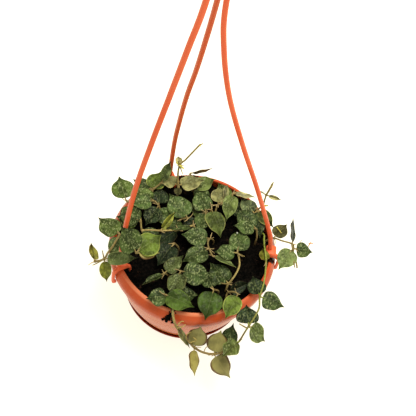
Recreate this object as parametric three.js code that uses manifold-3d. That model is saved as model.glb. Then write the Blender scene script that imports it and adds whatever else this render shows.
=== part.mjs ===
// Potted hoya curtisii: a plastic hanging pot with its clip-on saucer, a moulded three-strand
// hanger with hook, a fill of dark peat and the leafy vines that creep over it and over the rim.
// Millimetres, +Z up. The origin is the centre of the saucer's flat underside.
import * as THREE from "three";
import { mergeVertices } from "three/addons/utils/BufferGeometryUtils.js";
import Module from "manifold-3d";

const wasm = await Module();
wasm.setup();

// Driving dimensions
const CLEARANCE = 0.3; // gap between pieces that touch
const POT_SIDES = 36; // flat sides round the pot, the saucer and the soil
const WALL_THICKNESS = 1.8;
const FLOOR_TOP = 6.2; // inside bottom of the pot
const SAUCER_FLOOR = 2;
// Outside of the pot's wall below the collar: radius, height.
const WALL = [
  [52.5, 4.6],
  [56, 12],
  [62, 30],
  [67, 50],
  [70.3, 66],
  [72, 76.2],
];
// The collar and the rounded lip, from the collar's lower edge over the top to the inside.
const COLLAR = [
  [74.6, 76.6],
  [75, 80.6],
  [75, 84.4],
  [74, 87.6],
  [71.4, 92.2],
  [70, 93.5],
  [68.4, 93.3],
  [68, 91.6],
];
const SOIL_TOP = 86;
const ROOT_DEPTH = 8; // how far a stem reaches into the soil
const HOLE_MARGIN = 0.8; // the hole in the soil is this much wider than the stem
const STEM_SIDES = 5;
const PETIOLE = 2.5; // short stalk between the stem and a leaf's blade
const BLADE_THICKNESS = 0.9;
// Where the strands clip on: degrees from +X, and the side of the block that its hook sits on.
const CLIPS = [
  { turn: -147, side: 1 },
  { turn: 5.5, side: -1 },
  { turn: 122, side: -1 },
];
const HOOK_OFFSET = 5; // from the middle of the strand to the middle of the clip's hook
const STRAND_WIDTH = 3.8;
const STRAND_THICKNESS = 3.8;
const HUB = new THREE.Vector3(-13, 0, 460);
const HOOK_RADIUS = 16;
const HOOK_THICKNESS = 4;

// The route of each strand, from its clip up to the hub.
const STRANDS = [
  [[-57, -37, 97], [-58, -36, 122], [-57, -33, 146], [-52, -30, 204], [-44, -26, 261], [-36, -21, 311],
    [-29, -17, 355], [-23, -13, 394], [-17, -6, 462]],
  [[67, 6, 97], [65, 6, 112], [60, 6, 131], [40, 4, 190], [19, 2, 247], [2, 0, 299],
    [-8, -1, 345], [-12, -1, 385], [-10, -1, 462]],
  [[-35, 57, 97], [-35, 57, 152], [-33, 54, 191], [-30, 49, 230], [-26, 43, 266],
    [-23, 38, 299], [-19, 31, 352], [-13, 5, 462]],
];

// The vines. Each has the place of its root in the soil, the points that its stem runs through,
// the stem's radius and its leaves. A leaf is: number of the point it grows from, compass turn of
// its midrib from +X, rise above level, roll about the midrib, length with the tip, and width.
// Turns, rises and rolls are in degrees. A roll near 180 shows the leaf's underside.
const VINES = [
  {
    root: [-44, 24], thick: 0.9,
    stem: [[-46, 23, 94], [-54, 21, 99], [-61, 19, 102], [-67, 20, 104]],
    leaves: [[3, 117, 5, 0, 22, 20], [2, -84, -3, 0, 20, 18]],
  },
  {
    root: [-56, -7], thick: 1,
    stem: [[-59, -10, 96], [-64, -15, 103], [-67, -30, 108], [-69, -40, 113], [-70, -48, 117],
      [-77, -53, 118]],
    leaves: [[1, 151, 4, 5, 21, 19], [1, -100, -12, 0, 17, 13], [4, 14, 6, 22, 23, 11],
      [5, 108, 0, 50, 15, 12], [4, -63, -55, 0, 19, 10]],
  },
  {
    root: [-34, -17], thick: 1,
    stem: [[-35, -20, 97], [-37, -29, 110], [-40, -38, 124], [-44, -47, 138]],
    leaves: [[3, 146, 42, 0, 22, 21], [3, 49, 14, 0, 21, 21], [3, 14, -5, 180, 15, 11]],
  },
  {
    root: [-34, 20], thick: 0.9,
    stem: [[-35, 21, 95], [-38, 24, 101], [-43, 26, 104]],
    leaves: [[1, 252, 3, 0, 18, 16], [1, 97, -2, 0, 18, 16], [2, 160, 5, 0, 18, 16],
      [2, 205, 0, 0, 17, 15]],
  },
  {
    root: [-48, 36], thick: 0.9,
    stem: [[-48, 37, 95], [-47, 38, 101], [-40, 45, 107]],
    leaves: [[1, 82, 6, 0, 18, 17], [1, 158, 3, 0, 17, 14], [0, 128, 4, 0, 16, 13],
      [2, 66, 62, 0, 20, 9]],
  },
  {
    root: [-24, 40], thick: 0.9,
    stem: [[-24, 41, 97], [-25, 45, 108], [-27, 49, 118], [-27, 52, 130], [-23, 53, 138],
      [-18, 54, 150], [-13, 55, 162]],
    leaves: [[1, 158, 2, 0, 15, 13], [1, 31, 3, 0, 21, 15], [1, -80, -12, 0, 7, 7],
      [3, 110, 0, 0, 7, 6]],
  },
  {
    root: [-8, 48], thick: 0.9,
    stem: [[-12, 53, 97], [-17, 62, 106]],
    leaves: [[1, 18, 8, 100, 17, 7], [0, 34, 14, 0, 18, 15], [0, -18, 0, 0, 16, 13]],
  },
  {
    root: [5, 24], thick: 0.9,
    stem: [[5, 26, 94], [5, 29, 99]],
    leaves: [[1, 122, 5, 0, 20, 18], [1, -100, 12, 0, 18, 15]],
  },
  {
    root: [14, 30], thick: 0.9,
    stem: [[13, 34, 96], [14, 39, 100], [19, 43, 101]],
    leaves: [[1, 97, 10, 0, 15, 14], [2, 88, 4, 50, 15, 10]],
  },
  {
    root: [8, 26], thick: 0.9,
    stem: [[8, 29, 95], [9, 32, 101]],
    leaves: [[1, -62, 2, 0, 24, 18], [0, 165, -6, 0, 15, 13]],
  },
  {
    root: [25, 44], thick: 0.9,
    stem: [[24, 48, 96], [25, 53, 102]],
    leaves: [[1, -92, 3, 0, 26, 13], [1, 6, 4, -30, 17, 10], [0, 130, 15, 0, 18, 13],
      [0, -35, -8, 0, 17, 14]],
  },
  {
    root: [42, 32], thick: 0.8,
    stem: [[44, 34, 95], [48, 38, 100], [50, 42, 102], [53, 41, 112], [53, 41, 121], [53, 42, 128],
      [54, 42, 134], [55, 43, 140]],
    leaves: [[1, 135, 4, 0, 17, 15], [2, -74, -4, 0, 22, 12], [2, -44, 5, 20, 18, 12],
      [5, -5, -5, 50, 11, 4], [5, 165, 15, 40, 6, 4]],
  },
  {
    root: [54, 16], thick: 0.9,
    stem: [[54, 18, 95], [52, 22, 101]],
    leaves: [[1, 144, 4, 0, 22, 18], [1, 192, 18, 0, 18, 14]],
  },
  {
    root: [17, 6], thick: 0.8,
    stem: [[16, 5, 95], [13, 2, 101], [12, -3, 102], [14, -8, 101], [18, -14, 101]],
    leaves: [[1, 186, 5, 0, 21, 18], [3, 220, 3, 0, 22, 17], [4, -10, 2, -40, 19, 12]],
  },
  {
    root: [-5, -31], thick: 0.9,
    stem: [[-5, -34, 96], [-6, -36, 102]],
    leaves: [[1, 1, 4, 0, 23, 21], [1, -97, 0, 25, 20, 17]],
  },
  {
    root: [-15, -36], thick: 0.9,
    stem: [[-16, -38, 94], [-19, -40, 99]],
    leaves: [[1, 58, 14, 0, 19, 13], [1, 218, 4, 38, 18, 10]],
  },
  {
    root: [-6, -52], thick: 0.9,
    stem: [[-7, -55, 96], [-11, -61, 101], [-15, -61, 103]],
    leaves: [[1, 200, 4, 0, 15, 16], [2, -15, 5, 0, 23, 18], [0, 14, 0, 0, 17, 15]],
  },
  {
    root: [30, -42], thick: 0.9,
    stem: [[29, -43, 95], [25, -46, 101]],
    leaves: [[1, -94, 2, 0, 23, 21], [1, 124, -2, 0, 18, 14]],
  },
  {
    root: [37, -45], thick: 0.9,
    stem: [[38, -42, 94], [43, -43, 99], [46, -45, 101]],
    leaves: [[0, 36, 6, 40, 17, 11], [2, -105, 2, 0, 21, 15]],
  },
  {
    root: [36, -37], thick: 0.9,
    stem: [[37, -34, 94], [41, -26, 98], [43, -17, 99], [41, -9, 100], [39, -6, 101]],
    leaves: [[0, 140, 8, 0, 21, 19], [4, 89, 10, 0, 21, 18], [4, 192, 3, 0, 16, 15]],
  },
  {
    root: [58, 26], thick: 0.8,
    stem: [[60, 20, 97], [60, 12, 103], [61, 3, 107], [63, -4, 107], [65, -11, 104], [66, -22, 103],
      [66, -32, 102], [65, -42, 99], [66, -52, 99], [64, -60, 98], [60, -70, 96], [58, -74, 90],
      [56, -78, 82], [54, -80, 76]],
    leaves: [[4, 110, 4, 0, 11, 9], [7, 116, 3, 0, 16, 16], [7, -6, -3, 0, 19, 17],
      [10, 104, 6, 0, 16, 19], [10, -14, -30, 0, 18, 17], [12, -132, -15, 35, 16, 20]],
  },
  {
    root: [-2, -62], thick: 1.1,
    stem: [[-3, -66, 96], [-5, -72, 101], [-3, -77, 95], [1, -80, 86], [8, -82, 75],
      [14, -83, 67], [20, -84, 60], [28, -85, 56], [38, -85, 57], [47, -82, 61]],
    leaves: [[3, -16, -50, -20, 25, 9], [6, 84, 64, 180, 23, 17], [6, -80, -25, 140, 20, 12],
      [8, 86, 52, 180, 21, 18], [9, 86, 45, 0, 22, 14], [8, -41, -24, 180, 20, 18]],
  },
  {
    root: [62, 17], thick: 0.8,
    stem: [[64, 16, 97], [68, 15, 104], [75, 13, 106], [85, 12, 106], [87, 9, 104], [88, 5, 101],
      [92, 0, 97], [94, -4, 94]],
    leaves: [[1, 60, 3, 0, 16, 13], [3, 94, 8, 60, 21, 12], [4, 6, 0, 0, 14, 15],
      [4, 245, -8, 0, 19, 17]],
  },
  {
    root: [2, 5], thick: 0.9,
    stem: [[1, 8, 96], [-4, 11, 101], [-9, 7, 102], [-16, 3, 103], [-24, 0, 103], [-31, -2, 103],
      [-39, -4, 104], [-46, -6, 104]],
    leaves: [[1, 200, 8, 40, 21, 12], [5, 62, 6, 60, 19, 9], [3, 222, -16, 0, 18, 14]],
  },
  {
    root: [-22, 14], thick: 0.9,
    stem: [[-20, 15, 94], [-15, 17, 99], [-10, 17, 102]],
    leaves: [[2, 135, 4, 0, 25, 21], [0, 170, 12, 0, 18, 15], [1, -125, 0, 0, 15, 12],
      [1, -10, -6, 0, 16, 13]],
  },
  {
    root: [-12, -8], thick: 0.9,
    stem: [[-14, -8, 94], [-17, -9, 99]],
    leaves: [[1, -112, 0, 0, 21, 19]],
  },
  {
    root: [-45, -2], thick: 0.9,
    stem: [[-48, 1, 93], [-50, 6, 97], [-52, 11, 100]],
    leaves: [[1, 180, 3, 0, 18, 18], [0, -20, 3, 0, 20, 14]],
  },
];

// The leaf's outline as shares: distance along the blade, half width.
const OUTLINE = [
  [0.12, 0.37],
  [0.36, 0.5],
  [0.62, 0.46],
  [0.84, 0.22],
];
const BLADE_BASE = 0.9; // half width where the blade meets its stalk, mm

// Turning away from a neighbour: each leaf takes the first of these that leaves it clear,
// as degrees of rise and of roll added to its own.
const STEP_OF_RISE = 5;
const STEP_OF_ROLL = 8;

const MATERIALS = {
  pot: new THREE.MeshStandardMaterial({ color: 0xb9512c, roughness: 0.45, metalness: 0 }),
  saucer: new THREE.MeshStandardMaterial({ color: 0xa8452a, roughness: 0.45, metalness: 0 }),
  hanger: new THREE.MeshStandardMaterial({ color: 0xf06a3c, roughness: 0.4, metalness: 0 }),
  soil: new THREE.MeshStandardMaterial({ color: 0x17120f, roughness: 0.95, metalness: 0 }),
  vine: new THREE.MeshStandardMaterial({ color: 0x4f6d35, roughness: 0.5, metalness: 0 }),
};

function radians(degrees) {
  return (degrees * Math.PI) / 180;
}

// A number from 0 to 1 drawn for item k, the same every time.
function draw(k) {
  return ((k * 7919 + 3571) % 1009) / 1009;
}

// Solids and meshes

function solidOf(geometry) {
  const bare = geometry.clone();
  bare.deleteAttribute("normal");
  bare.deleteAttribute("uv");
  const merged = mergeVertices(bare, 1e-4);
  return new wasm.Manifold(new wasm.Mesh({
    numProp: 3,
    vertProperties: new Float32Array(merged.attributes.position.array),
    triVerts: new Uint32Array(merged.index.array),
  }));
}

function solidOfFaces(points, faces) {
  return new wasm.Manifold(new wasm.Mesh({
    numProp: 3,
    vertProperties: new Float32Array(points.flatMap((p) => [p.x, p.y, p.z])),
    triVerts: new Uint32Array(faces.flat()),
  }));
}

function geometryOf(solid) {
  const mesh = solid.getMesh();
  const geometry = new THREE.BufferGeometry();
  geometry.setAttribute("position", new THREE.BufferAttribute(mesh.vertProperties, 3));
  geometry.setIndex(new THREE.BufferAttribute(mesh.triVerts, 1));
  geometry.computeVertexNormals();
  return geometry;
}

function meshOf(name, solid, material) {
  const mesh = new THREE.Mesh(geometryOf(solid), material);
  mesh.name = name;
  return mesh;
}

// A turned solid from a profile of [radius, height] points that starts and ends on the axis.
function turned(profile, sides) {
  const outline = profile.map(([radius, height]) => new THREE.Vector2(radius, height));
  const geometry = new THREE.LatheGeometry(outline, sides);
  geometry.rotateX(Math.PI / 2);
  return solidOf(geometry);
}

function smoothRoute(points) {
  const places = points.map((p) => new THREE.Vector3(...p));
  return new THREE.CatmullRomCurve3(places, false, "catmullrom", 0.5);
}

// A solid of the given section swept along a smooth route.
function swept(section, points, steps) {
  const settings = { steps, bevelEnabled: false, extrudePath: smoothRoute(points) };
  return solidOf(new THREE.ExtrudeGeometry(section, settings));
}

function roundSection(radius, sides) {
  const section = new THREE.Shape();
  for (let i = 0; i < sides; i += 1) {
    const angle = (2 * Math.PI * i) / sides;
    const point = [radius * Math.cos(angle), radius * Math.sin(angle)];
    if (i === 0) section.moveTo(...point);
    else section.lineTo(...point);
  }
  section.closePath();
  return section;
}

// A rectangle with its four corners cut off.
function chamferedSection(width, height, chamfer) {
  const x = width / 2;
  const y = height / 2;
  const section = new THREE.Shape();
  section.moveTo(-x + chamfer, -y);
  section.lineTo(x - chamfer, -y);
  section.lineTo(x, -y + chamfer);
  section.lineTo(x, y - chamfer);
  section.lineTo(x - chamfer, y);
  section.lineTo(-x + chamfer, y);
  section.lineTo(-x, y - chamfer);
  section.lineTo(-x, -y + chamfer);
  section.closePath();
  return section;
}

// Pot and saucer

function wallInside() {
  return WALL.map(([radius, height]) => [radius - WALL_THICKNESS, height]);
}

function makePot() {
  const foot = [[0, 4], [46, 4], [46, SAUCER_FLOOR + CLEARANCE], [49, SAUCER_FLOOR + CLEARANCE],
    [50, 4]];
  const inside = wallInside().slice(1).reverse();
  const bottom = [[WALL[0][0] - WALL_THICKNESS, FLOOR_TOP], [0, FLOOR_TOP]];
  return turned([...foot, ...WALL, ...COLLAR, ...inside, ...bottom], POT_SIDES);
}

function makeSaucer() {
  const outside = [[0, 0], [51.5, 0], [53.5, 0.6], [57, 8], [58.6, 12.4]];
  const inside = [[57, 12.4], [55.6, 8.4], [53.4, 3], [51.5, SAUCER_FLOOR], [0, SAUCER_FLOOR]];
  return turned([...outside, ...inside], POT_SIDES);
}

// Soil

function soilHeight(x, y) {
  const edge = Math.hypot(x, y) / 68;
  const lumps = 1.2 * Math.sin(x / 9 + 1) * Math.cos(y / 7) + 0.8 * Math.sin(x / 3.7 + y / 5.1);
  return SOIL_TOP + lumps - 2 * edge ** 4;
}

function makeSoil() {
  const wall = wallInside().map(([radius, height]) => [radius - CLEARANCE, height]);
  const side = [wall[1], wall[3], wall[5]];
  const bottom = [WALL[0][0] - WALL_THICKNESS - CLEARANCE, FLOOR_TOP + CLEARANCE];
  const topRadii = [68.4, 60, 48, 34, 18];
  const points = [new THREE.Vector3(0, 0, bottom[1])];
  const rings = [bottom, ...side, ...topRadii.map((radius) => [radius, null])];
  for (const [radius, height] of rings) {
    for (let i = 0; i < POT_SIDES; i += 1) {
      const angle = (2 * Math.PI * i) / POT_SIDES;
      const x = radius * Math.sin(angle);
      const y = radius * Math.cos(angle);
      points.push(new THREE.Vector3(x, y, height ?? soilHeight(x, y)));
    }
  }
  points.push(new THREE.Vector3(0, 0, soilHeight(0, 0)));
  const last = points.length - 1;
  const faces = [];
  for (let i = 0; i < POT_SIDES; i += 1) {
    const next = (i + 1) % POT_SIDES;
    faces.push([0, 1 + i, 1 + next]);
    for (let ring = 1; ring < rings.length; ring += 1) {
      const low = 1 + (ring - 1) * POT_SIDES;
      const high = low + POT_SIDES;
      faces.push([low + i, high + i, high + next], [low + i, high + next, low + next]);
    }
    const top = 1 + (rings.length - 1) * POT_SIDES;
    faces.push([top + i, last, top + next]);
  }
  return solidOfFaces(points, faces);
}

// Hanger

// An outline of radius and height, pulled out sideways to a width, then turned to its place.
function clipPiece(outline, width, sideways, turn) {
  const shape = new THREE.Shape(outline.map(([radius, height]) => new THREE.Vector2(radius, height)));
  const geometry = new THREE.ExtrudeGeometry(shape, { depth: width, bevelEnabled: false });
  geometry.translate(0, 0, -width / 2 - sideways);
  geometry.rotateX(Math.PI / 2);
  geometry.rotateZ(radians(turn));
  return solidOf(geometry);
}

// A block on the rim under the strand's end, and beside it a hook that straddles the rim: a prong
// inside, and outside a leg whose foot catches under the collar.
function makeClip({ turn, side }) {
  const block = [[64, 94], [73, 94], [73.6, 95], [73, 99], [71.5, 100.2], [65.5, 100.2],
    [64, 99]];
  const hook = [[61.6, 87.4], [60.6, 92], [62, 96.4], [66, 99.4], [72.4, 99], [77, 95.6],
    [78.2, 90.6], [78.4, 75], [77, 73.2], [74.2, 73.2], [74.2, 75.6], [75.9, 76], [75.8, 89],
    [74, 92.6], [72, 94.4], [67.6, 94.4], [65, 95.8], [63.3, 94.4], [62.6, 92], [62.8, 87.4]];
  return clipPiece(block, 9, side * 1.5, turn).add(clipPiece(hook, 2.6, side * HOOK_OFFSET, turn));
}

function makeHub() {
  const profile = [[0, -4], [6, -4], [10, 0], [10, 4], [7, 8], [3.5, 12], [0, 12]];
  const hub = turned(profile, 12);
  return hub.translate([HUB.x, HUB.y, HUB.z]);
}

function makeHook() {
  const centre = HUB.z + 12 + 10 + HOOK_RADIUS;
  const route = [[HUB.x, HUB.y, HUB.z + 8], [HUB.x, HUB.y, HUB.z + 16]];
  for (let turn = -105; turn >= -380; turn -= 25) {
    const angle = radians(turn);
    const x = HUB.x + HOOK_RADIUS * Math.cos(angle);
    route.push([x, HUB.y, centre + HOOK_RADIUS * Math.sin(angle)]);
  }
  return swept(roundSection(HOOK_THICKNESS / 2, 8), route, 17);
}

function makeHanger() {
  const section = chamferedSection(STRAND_THICKNESS, STRAND_WIDTH, 1);
  let hanger = makeHub().add(makeHook());
  for (const route of STRANDS) hanger = hanger.add(swept(section, route, 13));
  for (const clip of CLIPS) hanger = hanger.add(makeClip(clip));
  return hanger;
}

// Vines

function vineRoute(vine) {
  const [x, y] = vine.root;
  return [[x, y, SOIL_TOP - ROOT_DEPTH], [x, y, SOIL_TOP + 3], ...vine.stem];
}

function makeStem(vine) {
  const route = vineRoute(vine);
  return swept(roundSection(vine.thick, STEM_SIDES), route, 2 * (route.length - 1));
}

function rootHole(vine) {
  const [x, y] = vine.root;
  const tall = ROOT_DEPTH + 12;
  const geometry = new THREE.CylinderGeometry(
    vine.thick + HOLE_MARGIN, vine.thick + HOLE_MARGIN, tall, 8);
  geometry.rotateX(Math.PI / 2);
  geometry.translate(x, y, SOIL_TOP - ROOT_DEPTH - CLEARANCE + tall / 2);
  return solidOf(geometry);
}

// The three directions of a leaf: along its midrib, across it to the left, and out of its top.
function leafAxes(turn, rise, roll) {
  const along = new THREE.Vector3(
    Math.cos(turn) * Math.cos(rise), Math.sin(turn) * Math.cos(rise), Math.sin(rise));
  const level = new THREE.Vector3(-Math.sin(turn), Math.cos(turn), 0);
  const over = new THREE.Vector3().crossVectors(along, level);
  const across = level.clone().multiplyScalar(Math.cos(roll)).addScaledVector(over, Math.sin(roll));
  const out = new THREE.Vector3().crossVectors(along, across);
  return { along, across, out };
}

// One leaf: a four-sided stalk that widens into a spade-shaped blade with a short pointed tip.
// The blade droops along its length and is cupped or arched across, by a drawn amount.
function makeLeaf(node, [, turn, rise, roll, length, width], number, addRise, addRoll) {
  const axes = leafAxes(radians(turn), radians(rise + addRise), radians(roll + addRoll));
  const droop = 0.06 + 0.12 * draw(number);
  const cup = 0.5 * draw(number + 400) - 0.3;
  const half = BLADE_THICKNESS / 2;
  const points = [];
  const place = (s, side, across, up) => {
    const sag = -droop * length * s * s + cup * width * side * side;
    const distance = PETIOLE + s * length;
    points.push(node.clone()
      .addScaledVector(axes.along, distance)
      .addScaledVector(axes.across, across)
      .addScaledVector(axes.out, sag + up));
  };
  for (const up of [half, -half]) {
    place(-PETIOLE / length, 0, BLADE_BASE, up);
    place(-PETIOLE / length, 0, -BLADE_BASE, up);
    place(0, 0, BLADE_BASE, up);
    place(0, 0, -BLADE_BASE, up);
    for (const [s, share] of OUTLINE) {
      place(s, share, share * width, up);
      place(s, 0, 0, up);
      place(s, share, -share * width, up);
    }
    place(1, 0, 0, up);
  }
  const count = points.length / 2;
  const tip = count - 1;
  const top = [[1, 3, 2], [1, 2, 0], [3, 5, 2], [2, 5, 4], [3, 6, 5]];
  for (let k = 4; k + 3 < tip; k += 3) {
    top.push([k, k + 1, k + 4], [k, k + 4, k + 3]);
    top.push([k + 1, k + 2, k + 4], [k + 2, k + 5, k + 4]);
  }
  top.push([tip - 3, tip - 2, tip], [tip - 2, tip - 1, tip]);
  const left = [0, 2];
  const right = [1, 3];
  for (let k = 4; k < tip; k += 3) {
    left.push(k);
    right.push(k + 2);
  }
  const rim = [...right, tip, ...left.reverse()];
  const faces = [...top];
  for (const [a, b, c] of top) faces.push([a + count, c + count, b + count]);
  for (let i = 0; i < rim.length; i += 1) {
    const a = rim[i];
    const b = rim[(i + 1) % rim.length];
    faces.push([a + count, b + count, b], [a + count, b, a]);
  }
  return solidOfFaces(points, faces);
}

// The turns away from a neighbour that a leaf may take, the smallest first.
function leafBends() {
  const bends = [];
  for (let rise = -5; rise <= 5; rise += 1) {
    for (let roll = -3; roll <= 3; roll += 1) bends.push([rise, roll]);
  }
  const size = ([rise, roll]) => Math.abs(rise) + Math.abs(roll) - (rise > 0 ? 0.1 : 0);
  bends.sort((a, b) => size(a) - size(b));
  return bends.map(([rise, roll]) => [rise * STEP_OF_RISE, roll * STEP_OF_ROLL]);
}

function isClear(solid, others) {
  return others.every((other) => solid.minGap(other, CLEARANCE + 0.1) >= CLEARANCE);
}

// All vines as solids, each leaf bent clear of the pieces and of the other vines.
function makeVines(fixedSolids) {
  const bends = leafBends();
  const stems = VINES.map(makeStem);
  const leaves = VINES.map(() => []);
  VINES.forEach((vine, v) => {
    const neighbours = () => [
      ...fixedSolids,
      ...stems.filter((_, other) => other !== v),
      ...leaves.flatMap((list, other) => (other === v ? [] : list)),
    ];
    vine.leaves.forEach((leaf, index) => {
      const node = new THREE.Vector3(...vine.stem[leaf[0]]);
      const number = v * 10 + index;
      const others = neighbours();
      const choice = bends.find(([rise, roll]) => (
        isClear(makeLeaf(node, leaf, number, rise, roll), others)));
      if (!choice) throw new Error(`vine ${v + 1}: leaf ${index + 1} finds no clear place`);
      leaves[v].push(makeLeaf(node, leaf, number, ...choice));
    });
  });
  return stems.map((stem, v) => leaves[v].reduce((vine, leaf) => vine.add(leaf), stem));
}

// The whole plant in its pot

const pot = makePot();
const saucer = makeSaucer();
const hanger = makeHanger();
const soil = VINES.reduce((earth, vine) => earth.subtract(rootHole(vine)), makeSoil());
const vines = makeVines([pot, saucer, hanger, soil]);

const group = new THREE.Group();
group.add(meshOf("saucer", saucer, MATERIALS.saucer));
group.add(meshOf("pot", pot, MATERIALS.pot));
group.add(meshOf("soil", soil, MATERIALS.soil));
group.add(meshOf("hanger", hanger, MATERIALS.hanger));
vines.forEach((vine, v) => {
  group.add(meshOf(`hoya_vine_${String(v + 1).padStart(2, "0")}`, vine, MATERIALS.vine));
});

export default group;
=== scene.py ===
"""Potted hoya curtisii in a plastic hanging pot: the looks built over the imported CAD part."""
import math
import random

import bmesh
import bpy
import numpy as np
from mathutils import Matrix, Vector, noise


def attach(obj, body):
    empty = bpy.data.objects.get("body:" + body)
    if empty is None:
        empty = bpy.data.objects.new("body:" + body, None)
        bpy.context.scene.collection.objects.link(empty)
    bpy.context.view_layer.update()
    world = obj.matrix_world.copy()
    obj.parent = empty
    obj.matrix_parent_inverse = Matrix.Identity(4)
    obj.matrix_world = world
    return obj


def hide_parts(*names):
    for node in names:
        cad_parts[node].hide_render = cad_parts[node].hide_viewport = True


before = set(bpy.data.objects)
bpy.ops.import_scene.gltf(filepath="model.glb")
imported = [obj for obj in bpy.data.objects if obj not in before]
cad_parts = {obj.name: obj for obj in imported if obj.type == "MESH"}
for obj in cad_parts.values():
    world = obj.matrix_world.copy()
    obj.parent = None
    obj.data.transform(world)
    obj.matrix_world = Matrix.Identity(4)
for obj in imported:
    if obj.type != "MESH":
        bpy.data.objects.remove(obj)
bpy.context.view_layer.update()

bl_info = {
    "name": "Potted hoya curtisii",
    "version": (1, 0, 0),
    "blender": (4, 5, 0),
    "location": "3D View > Sidebar > Hoya",
    "description": "Builds a hanging pot of creeping hoya with its saucer, peat, hanger and vines",
    "category": "Add Mesh",
}

MM = 0.001

# Sizes of the part's source, in millimetres. The wall, the collar and the clip's two outlines are
# radius and height. Each strand's route runs from its clip up to the hub.
CLEARANCE = 0.3
WALL_THICKNESS = 1.8
FLOOR_TOP = 6.2
SOIL_TOP = 86
ROOT_DEPTH = 8
PETIOLE = 2.5
BLADE_THICKNESS = 0.9
WALL = [(52.5, 4.6), (56, 12), (62, 30), (67, 50), (70.3, 66), (72, 76.2)]
COLLAR = [(74.6, 76.6), (75, 80.6), (75, 84.4), (74, 87.6), (71.4, 92.2), (70, 93.5), (68.4, 93.3),
          (68, 91.6)]
LIP_TOP = max(height for _, height in COLLAR)
SOIL_RADIUS = 68
# Turn of each clip round the pot, and the side of its strand on which it hooks over the rim
CLIPS = [(-147, 1), (5.5, -1), (122, -1)]
HOOK_OFFSET = 5
STRAND_WIDTH = 3.8
STRAND_THICKNESS = 3.8
HUB = (-13, 0, 460)
HUB_TOP = HUB[2] + 12
HOOK_RADIUS = 16
HOOK_THICKNESS = 4
CLIP_BLOCK = [(64, 94), (73, 94), (73.6, 95), (73, 99), (71.5, 100.2), (65.5, 100.2), (64, 99)]
CLIP_HOOK = [(61.6, 87.4), (60.6, 92), (62, 96.4), (66, 99.4), (72.4, 99), (77, 95.6),
             (78.2, 90.6), (78.4, 75), (77, 73.2), (74.2, 73.2), (74.2, 75.6), (75.9, 76),
             (75.8, 89), (74, 92.6), (72, 94.4), (67.6, 94.4), (65, 95.8), (63.3, 94.4),
             (62.6, 92), (62.8, 87.4)]
STRANDS = [
    [(-57, -37, 97), (-58, -36, 122), (-57, -33, 146), (-52, -30, 204), (-44, -26, 261),
     (-36, -21, 311), (-29, -17, 355), (-23, -13, 394), (-17, -6, 462)],
    [(67, 6, 97), (65, 6, 112), (60, 6, 131), (40, 4, 190), (19, 2, 247), (2, 0, 299),
     (-8, -1, 345), (-12, -1, 385), (-10, -1, 462)],
    [(-35, 57, 97), (-35, 57, 152), (-33, 54, 191), (-30, 49, 230), (-26, 43, 266),
     (-23, 38, 299), (-19, 31, 352), (-13, 5, 462)],
]

# What a vine is like unless it says otherwise: the half width and the tone of its stem, and how
# many small roots grow at a stem point that bears a leaf.
PLAIN_VINE = dict(thick=0.9, bark="tan", rootlets=2)

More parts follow.
